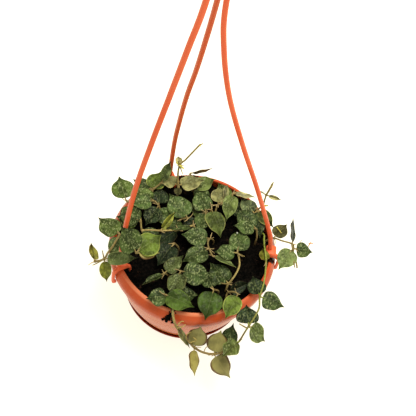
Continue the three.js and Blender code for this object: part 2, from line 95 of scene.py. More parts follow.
# The vines, as in the part's source, with the looks of each leaf and stem. A leaf is: stem point,
# turn of its midrib from +X, rise, roll, length, width and tone. A spur is a bare side shoot:
# stem point, turn, rise, length, girth and tone. Bits are a scar, a white dot that is a painted
# highlight, and dry roots on the leaves: a route, its girth and tone.
VINES = [
    dict(root=(-44, 24), rootlets=1,
         stem=[(-46, 23, 94), (-54, 21, 99), (-61, 19, 102), (-67, 20, 104)],
         leaves=[(3, 117, 5, 0, 22, 20, "green"), (2, -84, -3, 0, 20, 18, "shaded")]),
    dict(root=(-56, -7), thick=1,
         stem=[(-59, -10, 96), (-64, -15, 103), (-67, -30, 108), (-69, -40, 113), (-70, -48, 117),
               (-77, -53, 118)],
         leaves=[(1, 151, 4, 5, 21, 19, "green"), (1, -100, -12, 0, 17, 13, "shaded"),
                 (4, 14, 6, 22, 23, 11, "fresh"), (5, 108, 0, 50, 15, 12, "amber"),
                 (4, -63, -55, 0, 19, 10, "lime")],
         spurs=[(4, 232, 0, 12, 0.7, "tan"), (4, 118, 15, 7, 0.7, "tan")]),
    dict(root=(-34, -17), thick=1, rootlets=1,
         stem=[(-35, -20, 97), (-37, -29, 110), (-40, -38, 124), (-44, -47, 138)],
         leaves=[(3, 146, 42, 0, 22, 21, "shaded"), (3, 49, 14, 0, 21, 21, "bright"),
                 (3, 14, -5, 180, 15, 11, "olive")]),
    dict(root=(-34, 20),
         stem=[(-35, 21, 95), (-38, 24, 101), (-43, 26, 104)],
         leaves=[(1, 252, 3, 0, 18, 16, "deep"), (1, 97, -2, 0, 18, 16, "deep"),
                 (2, 160, 5, 0, 18, 16, "green"), (2, 205, 0, 0, 17, 15, "silver")]),
    dict(root=(-48, 36),
         stem=[(-48, 37, 95), (-47, 38, 101), (-40, 45, 107)],
         leaves=[(1, 82, 6, 0, 18, 17, "bright"), (1, 158, 3, 0, 17, 14, "shaded"),
                 (0, 128, 4, 0, 16, 13, "brown"), (2, 66, 62, 0, 20, 9, "fresh")]),
    dict(root=(-24, 40), bark="straw",
         stem=[(-24, 41, 97), (-25, 45, 108), (-27, 49, 118), (-27, 52, 130), (-23, 53, 138),
               (-18, 54, 150), (-13, 55, 162)],
         leaves=[(1, 158, 2, 0, 15, 13, "pale"), (1, 31, 3, 0, 21, 15, "pale"),
                 (1, -80, -12, 0, 7, 7, "dry"), (3, 110, 0, 0, 7, 6, "cream")],
         spurs=[(3, 190, 60, 6, 0.8, "tan"), (3, 160, 5, 4, 1.3, "yellow"),
                (3, -45, 5, 6, 1.2, "yellow"), (3, -60, -25, 9, 0.7, "straw"),
                (6, -10, 40, 4, 0.7, "straw"), (6, -70, 10, 3, 0.6, "yellow")]),
    dict(root=(-8, 48), rootlets=1,
         stem=[(-12, 53, 97), (-17, 62, 106)],
         leaves=[(1, 18, 8, 100, 17, 7, "rust"), (0, 34, 14, 0, 18, 15, "sage"),
                 (0, -18, 0, 0, 16, 13, "shaded")]),
    dict(root=(5, 24),
         stem=[(5, 26, 94), (5, 29, 99)],
         leaves=[(1, 122, 5, 0, 20, 18, "silver"), (1, -100, 12, 0, 18, 15, "shaded")]),
    dict(root=(14, 30), rootlets=4,
         stem=[(13, 34, 96), (14, 39, 100), (19, 43, 101)],
         leaves=[(1, 97, 10, 0, 15, 14, "pale"), (2, 88, 4, 50, 15, 10, "pale")]),
    dict(root=(8, 26), rootlets=3,
         stem=[(8, 29, 95), (9, 32, 101)],
         leaves=[(1, -62, 2, 0, 24, 18, "moss"), (0, 165, -6, 0, 15, 13, "green")]),
    dict(root=(25, 44),
         stem=[(24, 48, 96), (25, 53, 102)],
         leaves=[(1, -92, 3, 0, 26, 13, "sage"), (1, 6, 4, -30, 17, 10, "cream"),
                 (0, 130, 15, 0, 18, 13, "green"), (0, -35, -8, 0, 17, 14, "deep")]),
    dict(root=(42, 32), thick=0.8, bark="straw", rootlets=1,
         stem=[(44, 34, 95), (48, 38, 100), (50, 42, 102), (53, 41, 112), (53, 41, 121),
               (53, 42, 128), (54, 42, 134), (55, 43, 140)],
         leaves=[(1, 135, 4, 0, 17, 15, "ash"), (2, -74, -4, 0, 22, 12, "deep"),
                 (2, -44, 5, 20, 18, 12, "moss"), (5, -5, -5, 50, 11, 4, "cream"),
                 (5, 165, 15, 40, 6, 4, "cream")],
         spurs=[(7, 70, 60, 6, 1.0, "straw"), (5, 60, 60, 14, 1.0, "straw"),
                (3, -10, 20, 5, 1.1, "yellow")]),
    dict(root=(54, 16), rootlets=1,
         stem=[(54, 18, 95), (52, 22, 101)],
         leaves=[(1, 144, 4, 0, 22, 18, "dark"), (1, 192, 18, 0, 18, 14, "silver")]),
    dict(root=(17, 6), thick=0.8, rootlets=3,
         stem=[(16, 5, 95), (13, 2, 101), (12, -3, 102), (14, -8, 101), (18, -14, 101)],
         leaves=[(1, 186, 5, 0, 21, 18, "frosted"), (3, 220, 3, 0, 22, 17, "shaded"),
                 (4, -10, 2, -40, 19, 12, "fresh")]),
    dict(root=(-5, -31),
         stem=[(-5, -34, 96), (-6, -36, 102)],
         leaves=[(1, 1, 4, 0, 23, 21, "frosted"), (1, -97, 0, 25, 20, 17, "dull")]),
    dict(root=(-15, -36),
         stem=[(-16, -38, 94), (-19, -40, 99)],
         leaves=[(1, 58, 14, 0, 19, 13, "dull"), (1, 218, 4, 38, 18, 10, "shaded")]),
    dict(root=(-6, -52),
         stem=[(-7, -55, 96), (-11, -61, 101), (-15, -61, 103)],
         leaves=[(1, 200, 4, 0, 15, 16, "frosted"), (2, -15, 5, 0, 23, 18, "leafy"),
                 (0, 14, 0, 0, 17, 15, "dark")]),
    dict(root=(30, -42),
         stem=[(29, -43, 95), (25, -46, 101)],
         leaves=[(1, -94, 2, 0, 23, 21, "plain"), (1, 124, -2, 0, 18, 14, "dark")]),
    dict(root=(37, -45),
         stem=[(38, -42, 94), (43, -43, 99), (46, -45, 101)],
         leaves=[(0, 36, 6, 40, 17, 11, "deepest"), (2, -105, 2, 0, 21, 15, "bright")]),
    dict(root=(36, -37), bark="straw", rootlets=4,
         stem=[(37, -34, 94), (41, -26, 98), (43, -17, 99), (41, -9, 100), (39, -6, 101)],
         leaves=[(0, 140, 8, 0, 21, 19, "dark"), (4, 89, 10, 0, 21, 18, "silver"),
                 (4, 192, 3, 0, 16, 15, "silver")],
         spurs=[(4, -30, 10, 8, 0.8, "tan"), (0, 200, 12, 8, 0.8, "tan")],
         # A white dot on a leaf: a painted highlight.
         bits=[([(35, 12, 104), (36, 12, 104)], 0.8, "painted_glint")]),
    dict(root=(58, 26), thick=0.8, bark="lime", rootlets=1,
         stem=[(60, 20, 97), (60, 12, 103), (61, 3, 107), (63, -4, 107), (65, -11, 104),
               (66, -22, 103), (66, -32, 102), (65, -42, 99), (66, -52, 99), (64, -60, 98),
               (60, -70, 96), (58, -74, 90), (56, -78, 82), (54, -80, 76)],
         leaves=[(4, 110, 4, 0, 11, 9, "olive"), (7, 116, 3, 0, 16, 16, "deep"),
                 (7, -6, -3, 0, 19, 17, "frosted"), (10, 104, 6, 0, 16, 19, "deep"),
                 (10, -14, -30, 0, 18, 17, "sage"), (12, -132, -15, 35, 16, 20, "sage")],
         tip_bark="tan", bits=[([(59, -71, 94), (52, -70, 97)], 0.7, "tan")]),
    dict(root=(-2, -62), thick=1.1, bark="straw", rootlets=4,
         stem=[(-3, -66, 96), (-5, -72, 101), (-3, -77, 95), (1, -80, 86), (8, -82, 75),
               (14, -83, 67), (20, -84, 60), (28, -85, 56), (38, -85, 57), (47, -82, 61)],
         leaves=[(3, -16, -50, -20, 25, 9, "pale"), (6, 84, 64, 180, 23, 17, "green"),
                 (6, -80, -25, 140, 20, 12, "olive"), (8, 86, 52, 180, 21, 18, "green"),
                 (9, 86, 45, 0, 22, 14, "dark"), (8, -41, -24, 180, 20, 18, "green")],
         bits=[([(1, -80, 88), (4, -77, 92), (6, -77, 93)], 0.5, "gold"),
               ([(2, -81, 86), (6, -80, 89), (8, -78, 90)], 0.5, "gold"),
               ([(11, -83, 70), (11, -80, 74), (14, -78, 77)], 0.5, "gold"),
               ([(15, -84, 68), (20, -82, 71), (17, -81, 74)], 0.5, "gold"),
               ([(29, -85, 57), (30, -82, 61), (34, -79, 62), (36, -82, 60)], 0.4, "straw"),
               ([(40, -84, 57), (38, -80, 61)], 0.7, "tan")]),
    dict(root=(62, 17), thick=0.8,
         stem=[(64, 16, 97), (68, 15, 104), (75, 13, 106), (85, 12, 106), (87, 9, 104),
               (88, 5, 101), (92, 0, 97), (94, -4, 94)],
         leaves=[(1, 60, 3, 0, 16, 13, "dry"), (3, 94, 8, 60, 21, 12, "deepest"),
                 (4, 6, 0, 0, 14, 15, "shaded"), (4, 245, -8, 0, 19, 17, "fresh")],
         spurs=[(5, -80, -5, 14, 1.0, "tan"), (3, -80, -10, 6, 1.2, "tan")],
         bits=[([(69, 25, 107), (74, 20, 107)], 0.5, "yellow"),
               ([(93, 17, 108), (91, 14, 108)], 0.3, "orange"),
               ([(99, 12, 108), (101, 17, 108)], 0.5, "orange"),
               ([(99, 15, 108), (103, 16, 108)], 0.5, "orange")]),
    dict(root=(2, 5), bark="straw",
         stem=[(1, 8, 96), (-4, 11, 101), (-9, 7, 102), (-16, 3, 103), (-24, 0, 103),
               (-31, -2, 103), (-39, -4, 104), (-46, -6, 104)],
         leaves=[(1, 200, 8, 40, 21, 12, "shaded"), (5, 62, 6, 60, 19, 9, "lime"),
                 (3, 222, -16, 0, 18, 14, "deepest")]),
    dict(root=(-22, 14),
         stem=[(-20, 15, 94), (-15, 17, 99), (-10, 17, 102)],
         leaves=[(2, 135, 4, 0, 25, 21, "silver"), (0, 170, 12, 0, 18, 15, "silver"),
                 (1, -125, 0, 0, 15, 12, "shaded"), (1, -10, -6, 0, 16, 13, "deepest")]),
    dict(root=(-12, -8),
         stem=[(-14, -8, 94), (-17, -9, 99)],
         leaves=[(1, -112, 0, 0, 21, 19, "deepest")]),
    dict(root=(-45, -2), bark="straw", rootlets=1,
         stem=[(-48, 1, 93), (-50, 6, 97), (-52, 11, 100)],
         leaves=[(1, 180, 3, 0, 18, 18, "green"), (0, -20, 3, 0, 20, 14, "dark")]),
]

# Leaf tones: upper side, underside, rim, and how strongly silver flecks show.
# The darkest tones, shaded, dark, deep and deepest, were given to leaves that lie in shade, so they are
# partly painted shade as well as deeper green.
LEAF_TONES = {
    "green": ("4d5f27", "8b854c", "39431a", 0.9),
    "silver": ("4c602f", "8b854c", "3c471f", 1.0),
    "frosted": ("405128", "8b854c", "343f1c", 1.0),
    "leafy": ("4a6024", "8b854c", "566a26", 0.1),
    "plain": ("3f541f", "8b854c", "3a4a18", 0.1),
    "shaded": ("3f4f24", "7d7744", "323c18", 0.8),
    "dark": ("374722", "7d7744", "2a3212", 0.7),
    "deep": ("27351d", "6b6632", "1f2810", 0.45),
    "deepest": ("1d2817", "4e4c26", "2c2412", 0.2),
    "dull": ("4b562d", "7d7744", "5c5c34", 0.75),
    "ash": ("505b3c", "7d7744", "5c5c34", 0.85),
    "sage": ("637239", "8b854c", "7f8c4e", 0.85),
    "moss": ("4c5827", "8b854c", "8f9150", 0.3),
    "fresh": ("687841", "979248", "8c9a58", 0.7),
    "bright": ("64782f", "979248", "9aa24c", 0.3),
    "olive": ("6f7025", "958c48", "7a5f28", 0.15),
    "amber": ("828034", "958c48", "7a5f28", 0.15),
    "brown": ("6b582b", "7a682c", "4a3518", 0.1),
    "dry": ("55522f", "6a6032", "3a2a16", 0.2),
    "rust": ("94784f", "94784a", "84683e", 0.05),
    "pale": ("8b8a57", "9a934a", "a8a06c", 0.5),
    "cream": ("b5b075", "b5ae78", "c4bd84", 0.1),
    "lime": ("8d9339", "a3a142", "a3a142", 0.05),
}
# Tones of stems and bits. The white one is a painted highlight on a leaf.
BARK_TONES = {"tan": "8c7c4a", "straw": "a8975a", "lime": "8f9d3c", "yellow": "d8cf5c",
              "orange": "d08a44", "painted_glint": "f2f2ea", "gold": "b8a45c"}

# Streaks of peat stuck to the front of the collar, and a row of dark peat crumbs along the back of
# its lip that makes it dark there: turn and height where each starts and ends, its number of crumbs
# and how far they stray.
PEAT_SMEARS = [(-93.5, 96, -96, 84, 230, 1.2), (-95, 90, -100, 80, 90, 0.8),
               (-96, 87, -96.5, 79, 50, 0.6), (-92.5, 88, -92.5, 80, 60, 0.6),
               (114, 95, 99, 95, 260, 0.9)]

# Half width of a blade as a share of its width, along its length: a round leaf with a short
# drawn-out tip, and a spade-shaped one.
ROUND_BLADE = [(0, 0.05), (0.02, 0.19), (0.05, 0.29), (0.1, 0.385), (0.18, 0.465), (0.28, 0.51),
               (0.4, 0.525), (0.52, 0.515), (0.63, 0.475), (0.72, 0.41), (0.79, 0.33), (0.84, 0.25),
               (0.875, 0.165), (0.905, 0.1), (0.94, 0.055), (0.97, 0.028), (1, 0.008)]
SPADE_BLADE = [(0, 0.05), (0.015, 0.22), (0.04, 0.35), (0.09, 0.45), (0.17, 0.51), (0.28, 0.53),
               (0.4, 0.51), (0.52, 0.465), (0.63, 0.4), (0.72, 0.33), (0.79, 0.26), (0.84, 0.19),
               (0.88, 0.12), (0.91, 0.08), (0.94, 0.05), (0.97, 0.028), (1, 0.008)]


def linear(code):
    """A colour from its sRGB hex code, as linear red, green, blue and alpha."""
    parts = [int(code[i:i + 2], 16) / 255 for i in (0, 2, 4)]
    return tuple(c / 12.92 if c <= 0.04045 else ((c + 0.055) / 1.055) ** 2.4 for c in parts) + (1,)


def draw(k):
    """The number from 0 to 1 that the part's source draws for item k."""
    return ((k * 7919 + 3571) % 1009) / 1009


# Nodes

def add_node(tree, kind, inputs=None, **settings):
    """Adds a node, sets it up, fills or links its inputs, and returns it. An input's name means the
    first one of that name in use, and a node as a value stands for its first output in use."""
    node = tree.nodes.new(kind)
    for name, value in settings.items():
        setattr(node, name, value)
    for name, value in (inputs or {}).items():
        socket = next(s for k, s in enumerate(node.inputs) if s.enabled and name in (k, s.name))
        if isinstance(value, bpy.types.Node):
            value = next(output for output in value.outputs if output.enabled)
        if isinstance(value, bpy.types.NodeSocket):
            tree.links.new(value, socket)
        else:
            socket.default_value = value
    return node


def new_tree(name, inputs):
    """An empty geometry tree with the named inputs, what its first node gives, and its last node."""
    tree = bpy.data.node_groups.new(name, "GeometryNodeTree")
    tree.interface.new_socket("Geometry", in_out="INPUT", socket_type="NodeSocketGeometry")
    for label, kind in inputs.items():
        tree.interface.new_socket(label, in_out="INPUT", socket_type="NodeSocket" + kind)
    tree.interface.new_socket("Geometry", in_out="OUTPUT", socket_type="NodeSocketGeometry")
    return tree, add_node(tree, "NodeGroupInput").outputs, add_node(tree, "NodeGroupOutput")


def baked(piece):
    """Turns the piece with its modifiers into a plain mesh."""
    bpy.context.view_layer.update()
    depsgraph = bpy.context.evaluated_depsgraph_get()
    mesh = bpy.data.meshes.new_from_object(
        piece.evaluated_get(depsgraph), preserve_all_data_layers=True, depsgraph=depsgraph)
    piece.modifiers.clear()
    piece.data = mesh
    mesh.name = piece.name
    return piece


def run_tree(piece, tree, values):
    """Runs a geometry tree on the piece and keeps the result as its mesh."""
    modifier = piece.modifiers.new(tree.name, "NODES")
    modifier.node_group = tree
    for item in tree.interface.items_tree:
        if item.item_type == "SOCKET" and item.in_out == "INPUT" and item.name in values:
            modifier[item.identifier] = values[item.name]
    return baked(piece)


def new_material(name):
    """A new material and its empty node tree."""
    material = bpy.data.materials.new(name)
    material.use_nodes = True
    material.node_tree.nodes.clear()
    return material, material.node_tree


def grain(tree, size, detail=2.0, roughness=0.5, stretch=(1, 1, 1)):
    """Noise on Object coordinates whose lumps are about size millimetres wide."""
    coordinates = add_node(tree, "ShaderNodeTexCoord").outputs["Object"]
    mapped = add_node(tree, "ShaderNodeMapping", {"Vector": coordinates, "Scale": stretch})
    return add_node(tree, "ShaderNodeTexNoise", {
        "Vector": mapped, "Scale": 1 / (size * MM), "Detail": detail, "Roughness": roughness})


def layered(tree, base, *coats):
    """Lays coats of colour over a base colour. A coat is a pattern, the value at which it starts,
    the value at which it is full, the most that it covers, and its colour. It lies where the pattern
    is high, or where it is low if it is full at the lower value."""
    for pattern, start, full, most, colour in coats:
        cover = add_node(tree, "ShaderNodeMapRange", {
            "Value": pattern, "From Min": start, "From Max": full, "To Max": most},
            interpolation_type="SMOOTHSTEP")
        base = add_node(tree, "ShaderNodeMix", {"Factor": cover, "A": base, "B": colour},
                        data_type="RGBA")
    return base


def surfaced(material, inputs, height=None, relief=0):
    """Ends a material with its shader, on which a height pattern stands relief millimetres high."""
    tree = material.node_tree
    if height:
        inputs["Normal"] = add_node(tree, "ShaderNodeBump", {
            "Height": height, "Distance": relief * MM})
    shader = add_node(tree, "ShaderNodeBsdfPrincipled", inputs)
    add_node(tree, "ShaderNodeOutputMaterial", {"Surface": shader})
    return material


# Materials

def moulded_plastic(name, colour, faded, gloss, thin_below=None, shaded_behind=None, clip_shade_spot=None):
    """Injection-moulded polypropylene, or polyethylene: an even pigment with a soft gloss. Flow marks
    shift its tone a little, handling scuffs dull it, and a thin film of dried water and dust tints
    it. Where a pot's wall is thin, below a height in millimetres, light comes through and its tone
    is warmer, and its lip has a painted highlight at the front. What stands farther back than a given
    place is in the plant's shade and deeper in tone, and a spot of painted shade, nearly black, lies
    round a given point under a clip."""
    material, tree = new_material(name)
    spot = add_node(tree, "ShaderNodeTexCoord").outputs["Object"]
    place = add_node(tree, "ShaderNodeSeparateXYZ", {"Vector": spot}).outputs
    flow = grain(tree, 22, 2, 0.5, (1, 1, 0.35))
    coats = [(flow, 0.35, 0.65, 1, linear(faded))]
    # Places and fades are in millimetres from the middle of the pot.
    if shaded_behind:
        deepest = shaded_behind + 12
        coats.append((place["Y"], shaded_behind * MM, deepest * MM, 1, linear("c9582f")))
    if thin_below:
        # Painted highlight: the top of the lip is painted paler towards the front.
        front = add_node(tree, "ShaderNodeMapRange", {
            "Value": place["Y"], "From Min": -35 * MM, "From Max": -62 * MM, "To Max": 0.35},
            interpolation_type="SMOOTHSTEP")
        coats += [(place["Z"], (thin_below + 0.4) * MM, (thin_below - 0.4) * MM, 1,
                   linear("ba571e")),
                  (place["Z"], (LIP_TOP - 2.2) * MM, (LIP_TOP - 0.7) * MM, front,
                   linear("f0a87c"))]
    film = grain(tree, 7, 4, 0.6)
    coats.append((film, 0.52, 0.74, 0.1, linear("c98a62")))
    # Painted shade: a nearly black spot on the lip round the given point under a clip. The lip is not
    # cut there.
    if clip_shade_spot:
        gap = add_node(tree, "ShaderNodeVectorMath", {0: spot, 1: [c * MM for c in clip_shade_spot]},
                       operation="DISTANCE")
        coats.append((gap, 6 * MM, 4.6 * MM, 1, linear("140b07")))
    scuffed = add_node(tree, "ShaderNodeMapRange", {
        "Value": grain(tree, 1.6, 3, 0.65, (1, 1, 4)), "From Min": 0.56, "From Max": 0.7,
        "To Min": gloss, "To Max": gloss + 0.22}, interpolation_type="SMOOTHSTEP")
    return surfaced(material, {
        "Base Color": layered(tree, colour, *coats), "Roughness": scuffed, "IOR": 1.49,
        "Specular IOR Level": 0.1}, grain(tree, 2.4, 3), 0.05)


def damp_peat(name):
    """Milled peat compost, damp: nearly black, matt, crumbly, with browner dry crumbs."""
    material, tree = new_material(name)
    tone = layered(tree, linear("030302"),
                   (grain(tree, 2.2, 4, 0.65), 0.42, 0.66, 1, linear("130f0b")),
                   (grain(tree, 5, 3, 0.6), 0.6, 0.72, 1, linear("34241a")))
    return surfaced(
        material, {"Base Color": tone, "Roughness": 0.95, "Specular IOR Level": 0.05},
        grain(tree, 0.9, 4, 0.7), 0.6)


def skin_tone(tree, name, dimmed):
    """A tone that the piece's own mesh carries, and the same tone dimmed to a share of itself."""
    tone = add_node(tree, "ShaderNodeAttribute", attribute_name=name).outputs["Color"]
    return tone, add_node(tree, "ShaderNodeHueSaturation", {"Value": dimmed, "Color": tone})


def place_on_leaf(tree):
    """How far along its blade a point lies, and how far out from the midrib, as shares."""
    along, across = [add_node(tree, "ShaderNodeAttribute", attribute_name=name).outputs["Fac"]
                     for name in ("along", "across")]
    return along, add_node(tree, "ShaderNodeMath", {0: across}, operation="ABSOLUTE")


def leaf_upper(name):
    """The upper side of a thick waxy leaf: mottled green with silver flecks where air lies under
    the skin, a sunken midrib, faint side veins, a rim of its own tone and a satin gloss."""
    material, tree = new_material(name)
    tone, darker = skin_tone(tree, "tone", 0.4)
    along, across = place_on_leaf(tree)
    rim = add_node(tree, "ShaderNodeAttribute", attribute_name="rim").outputs["Color"]
    flecks = add_node(tree, "ShaderNodeAttribute", attribute_name="flecks").outputs["Fac"]
    strongest = add_node(tree, "ShaderNodeMath", {0: flecks, 1: 0.62}, operation="MULTIPLY")
    patches = add_node(tree, "ShaderNodeMapRange", {
        "Value": grain(tree, 5, 2), "From Min": 0.3, "From Max": 0.55, "To Max": strongest},
        interpolation_type="SMOOTHSTEP")
    # Flecks are 0.3 to 1 mm across on the real leaf; drawn at 1.2 mm so that they show.
    specks = grain(tree, 1.2, 3, 0.55, (1, 0.6, 1))
    colour = layered(tree, darker,
                     (grain(tree, 8, 2, 0.6), 0.4, 0.6, 1, tone),
                     # Painted shade: the blade is darker towards its midrib, where it folds.
                     (across, 0.55, 0.05, 0.5, darker),
                     (specks, 0.5, 0.64, patches, linear("9ea970")),
                     (across, 0.05, 0.01, 0.15, linear("8c9560")),
                     (across, 0.86, 0.98, 0.8, rim))
    slanted = add_node(tree, "ShaderNodeMath", {0: across, 1: -0.3, 2: along},
                       operation="MULTIPLY_ADD")
    turns = add_node(tree, "ShaderNodeMath", {0: slanted, 1: 38.0}, operation="MULTIPLY")
    ribs = add_node(tree, "ShaderNodeMath", {0: turns}, operation="SINE")
    # The blade swells unevenly and folds up from its midrib, far more than its side veins stand.
    height = grain(tree, 0.9, 2)
    for pattern, weight in ((grain(tree, 7, 2), 17.0), (across, 13.0), (ribs, 0.25)):
        height = add_node(tree, "ShaderNodeMath", {0: pattern, 1: weight, 2: height},
                          operation="MULTIPLY_ADD")
    return surfaced(
        material, {"Base Color": colour, "Roughness": 0.36, "Specular IOR Level": 0.1},
        height, 0.25)


def leaf_underside(name):
    """The underside of the leaf: even olive green, matt, with a raised midrib and a brown edge."""
    material, tree = new_material(name)
    tone, shade = skin_tone(tree, "under", 0.7)
    _, across = place_on_leaf(tree)
    colour = layered(tree, shade,
                     (grain(tree, 7, 3), 0.35, 0.65, 1, tone),
                     (across, 0.09, 0.02, 0.12, linear("a39c5c")),
                     (across, 0.72, 0.92, 0.9, linear("4e3018")))
    return surfaced(
        material, {"Base Color": colour, "Roughness": 0.5, "Specular IOR Level": 0.16},
        grain(tree, 0.9, 3), 0.1)


def vine_bark(name):
    """The skin of the creeping stem and its rootlets: straw to green, streaked, with brown nodes."""
    material, tree = new_material(name)
    tone, browned = skin_tone(tree, "tone", 0.6)
    colour = layered(tree, browned, (grain(tree, 1.3, 3, 0.6), 0.4, 0.66, 1, tone))
    return surfaced(
        material, {"Base Color": colour, "Roughness": 0.6, "Specular IOR Level": 0.15},
        grain(tree, 0.6, 3), 0.1)


def white_card(name):
    """The seamless pale card that the pot stands on: matt, faintly warm and uneven."""
    material, tree = new_material(name)
    tone = add_node(tree, "ShaderNodeMix", {
        "Factor": grain(tree, 180, 2), "A": linear("bdbfa8"), "B": linear("bcbcb0")},
        data_type="RGBA")
    return surfaced(material, {
        "Base Color": tone, "Emission Color": linear("fffcec"), "Emission Strength": 0.85,
        "Roughness": 0.9, "Specular IOR Level": 0.1})


# Shapes

def placed(name, data):
    """An object at the origin that shows a mesh, a lamp or a camera."""
    piece = bpy.data.objects.new(name, data)
    bpy.context.scene.collection.objects.link(piece)
    return piece


def new_piece(name, points, faces, material=None, edges=()):
    """A mesh object at the origin from points in millimetres."""
    mesh = bpy.data.meshes.new(name)
    mesh.from_pydata([tuple(c * MM for c in p) for p in points], edges, faces)
    if material:
        mesh.materials.append(material)
    mesh.shade_smooth()
    return placed(name, mesh)


def carry(mesh, name, kind, numbers, domain="POINT"):
    """Gives the mesh a named value at each of its points or faces."""
    field = {"FLOAT_VECTOR": "vector", "FLOAT_COLOR": "color"}.get(kind, "value")
    numbers = np.array(numbers, bool if kind == "BOOLEAN" else float).ravel()
    mesh.attributes.new(name, kind, domain).data.foreach_set(field, numbers)


def path_piece(name, points, facing):
    """A line of points in millimetres that carries which way its section faces."""
    edges = [(k, k + 1) for k in range(len(points) - 1)]
    piece = new_piece(name, points, [], edges=edges)
    carry(piece.data, "facing", "FLOAT_VECTOR", [facing] * len(points))
    return piece


def tidy_normals(piece):
    """Merges doubles and turns every face outwards."""
    work = bmesh.new()
    work.from_mesh(piece.data)
    bmesh.ops.remove_doubles(work, verts=work.verts, dist=1e-6)
    bmesh.ops.recalc_face_normals(work, faces=work.faces)
    work.to_mesh(piece.data)
    work.free()


def smooth_route(points, per_span):
    """Points on the smooth curve through the given ones, as the part's source sweeps it."""
    p = [np.array(q, float) for q in points]
    p = [2 * p[0] - p[1]] + p + [2 * p[-1] - p[-2]]
    route = []
    for a, b, c, d in zip(p, p[1:], p[2:], p[3:]):
        for i in range(per_span):
            t = i / per_span
            m0, m1 = (c - a) / 2, (d - b) / 2
            route.append((2 * t**3 - 3 * t**2 + 1) * b + (t**3 - 2 * t**2 + t) * m0
                         + (3 * t**2 - 2 * t**3) * c + (t**3 - t**2) * m1)
    return route + [p[-2]]


def rounded_outline(points, radius, steps=4, closed=False):
    """Cuts each corner of an outline into an arc that starts at most radius from the corner."""
    places = [np.array(p, float) for p in points]
    count = len(places)
    result = []
    for i, corner in enumerate(places):
        if not closed and i in (0, count - 1):
            result.append(tuple(corner))
            continue
        before, after = places[i - 1], places[(i + 1) % count]
        cut = min(radius, 0.45 * np.linalg.norm(corner - before),
                  0.45 * np.linalg.norm(after - corner))
        start = corner + (before - corner) / np.linalg.norm(before - corner) * cut
        end = corner + (after - corner) / np.linalg.norm(after - corner) * cut
        for k in range(steps + 1):
            t = k / steps
            result.append(tuple((1 - t)**2 * start + 2 * t * (1 - t) * corner + t**2 * end))
    return result


def turned(name, profile, sides, material):
    """A closed turned piece from a profile of radius and height that starts and ends on the axis."""
    points, faces, rings = [], [], []
    for radius, height in profile:
        if radius < 1e-6:
            rings.append([len(points)] * sides)
            points.append((0, 0, height))
            continue
        rings.append(list(range(len(points), len(points) + sides)))
        for i in range(sides):
            angle = 2 * math.pi * i / sides
            points.append((radius * math.cos(angle), radius * math.sin(angle), height))
    for low, high in zip(rings, rings[1:]):
        for i in range(sides):
            j = (i + 1) % sides
            faces.append(list(dict.fromkeys([low[i], low[j], high[j], high[i]])))
    piece = new_piece(name, points, faces, material)
    tidy_normals(piece)
    return piece


def finished(piece, *nodes, slot=None):
    """Seats a finished piece on the part: it rides and stands for its nodes. Its slot is not used."""
    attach(piece, "root")
    if nodes:
        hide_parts(*nodes)


def joined(name, pieces):
    """One object made of several."""
    bpy.ops.object.select_all(action="DESELECT")
    for piece in pieces:
        piece.select_set(True)
    bpy.context.view_layer.objects.active = pieces[0]
    bpy.ops.object.join()
    pieces[0].name = name
    pieces[0].data.name = name
    return pieces[0]


# Geometry trees

def close_tree(tree, end, geometry, material):
    """Ends a tree with real geometry in its material."""
    real = add_node(tree, "GeometryNodeRealizeInstances", {"Geometry": geometry})
    done = add_node(tree, "GeometryNodeSetMaterial", {"Geometry": real, "Material": material})
    tree.links.new(done.outputs["Geometry"], end.inputs["Geometry"])
    return tree


def rod_tree():
    """Sweeps a rounded rectangular section along a path whose points carry its facing."""
    tree, given, end = new_tree("Moulded rod", {
        "Width": "Float", "Height": "Float", "Corner": "Float", "Corner Steps": "Int",
        "Material": "Material"})
    path = add_node(tree, "GeometryNodeMeshToCurve", {"Mesh": given["Geometry"]})
    facing = add_node(tree, "GeometryNodeInputNamedAttribute", {"Name": "facing"},
                      data_type="FLOAT_VECTOR")
    path = add_node(tree, "GeometryNodeSetCurveNormal", {"Curve": path, "Normal": facing},
                    mode="FREE")
    section = add_node(tree, "GeometryNodeCurvePrimitiveQuadrilateral", {
        "Width": given["Width"], "Height": given["Height"]})
    section = add_node(tree, "GeometryNodeFilletCurve", {
        "Curve": section, "Radius": given["Corner"], "Count": given["Corner Steps"]}, mode="POLY")
    rod = add_node(tree, "GeometryNodeCurveToMesh", {
        "Curve": path, "Profile Curve": section, "Fill Caps": True})
    return close_tree(tree, end, rod, given["Material"])


def crumb_tree():
    """Scatters crumbs of several sizes over the upward faces of a surface."""
    tree, given, end = new_tree("Peat crumbs", {
        "Crumb": "Object", "Density": "Float", "Smallest": "Float", "Largest": "Float",
        "Seed": "Int", "Material": "Material"})
    facing = add_node(tree, "GeometryNodeInputNormal")
    up = add_node(tree, "ShaderNodeSeparateXYZ", {"Vector": facing}).outputs["Z"]
    level = add_node(tree, "FunctionNodeCompare", {"A": up, "B": 0.4}, operation="GREATER_THAN")
    spots = add_node(tree, "GeometryNodeDistributePointsOnFaces", {
        "Mesh": given["Geometry"], "Selection": level, "Density": given["Density"],
        "Seed": given["Seed"]})
    size = add_node(tree, "FunctionNodeRandomValue", {
        "Min": given["Smallest"], "Max": given["Largest"], "Seed": given["Seed"]},
        data_type="FLOAT")
    turn = add_node(tree, "FunctionNodeRandomValue", {
        "Min": (0, 0, 0), "Max": (6.2, 6.2, 6.2), "Seed": given["Seed"]},
        data_type="FLOAT_VECTOR")
    shape = add_node(tree, "GeometryNodeObjectInfo", {"Object": given["Crumb"]})
    strewn = add_node(tree, "GeometryNodeInstanceOnPoints", {
        "Points": spots, "Instance": shape.outputs["Geometry"], "Scale": size, "Rotation": turn})
    return close_tree(tree, end, strewn, given["Material"])


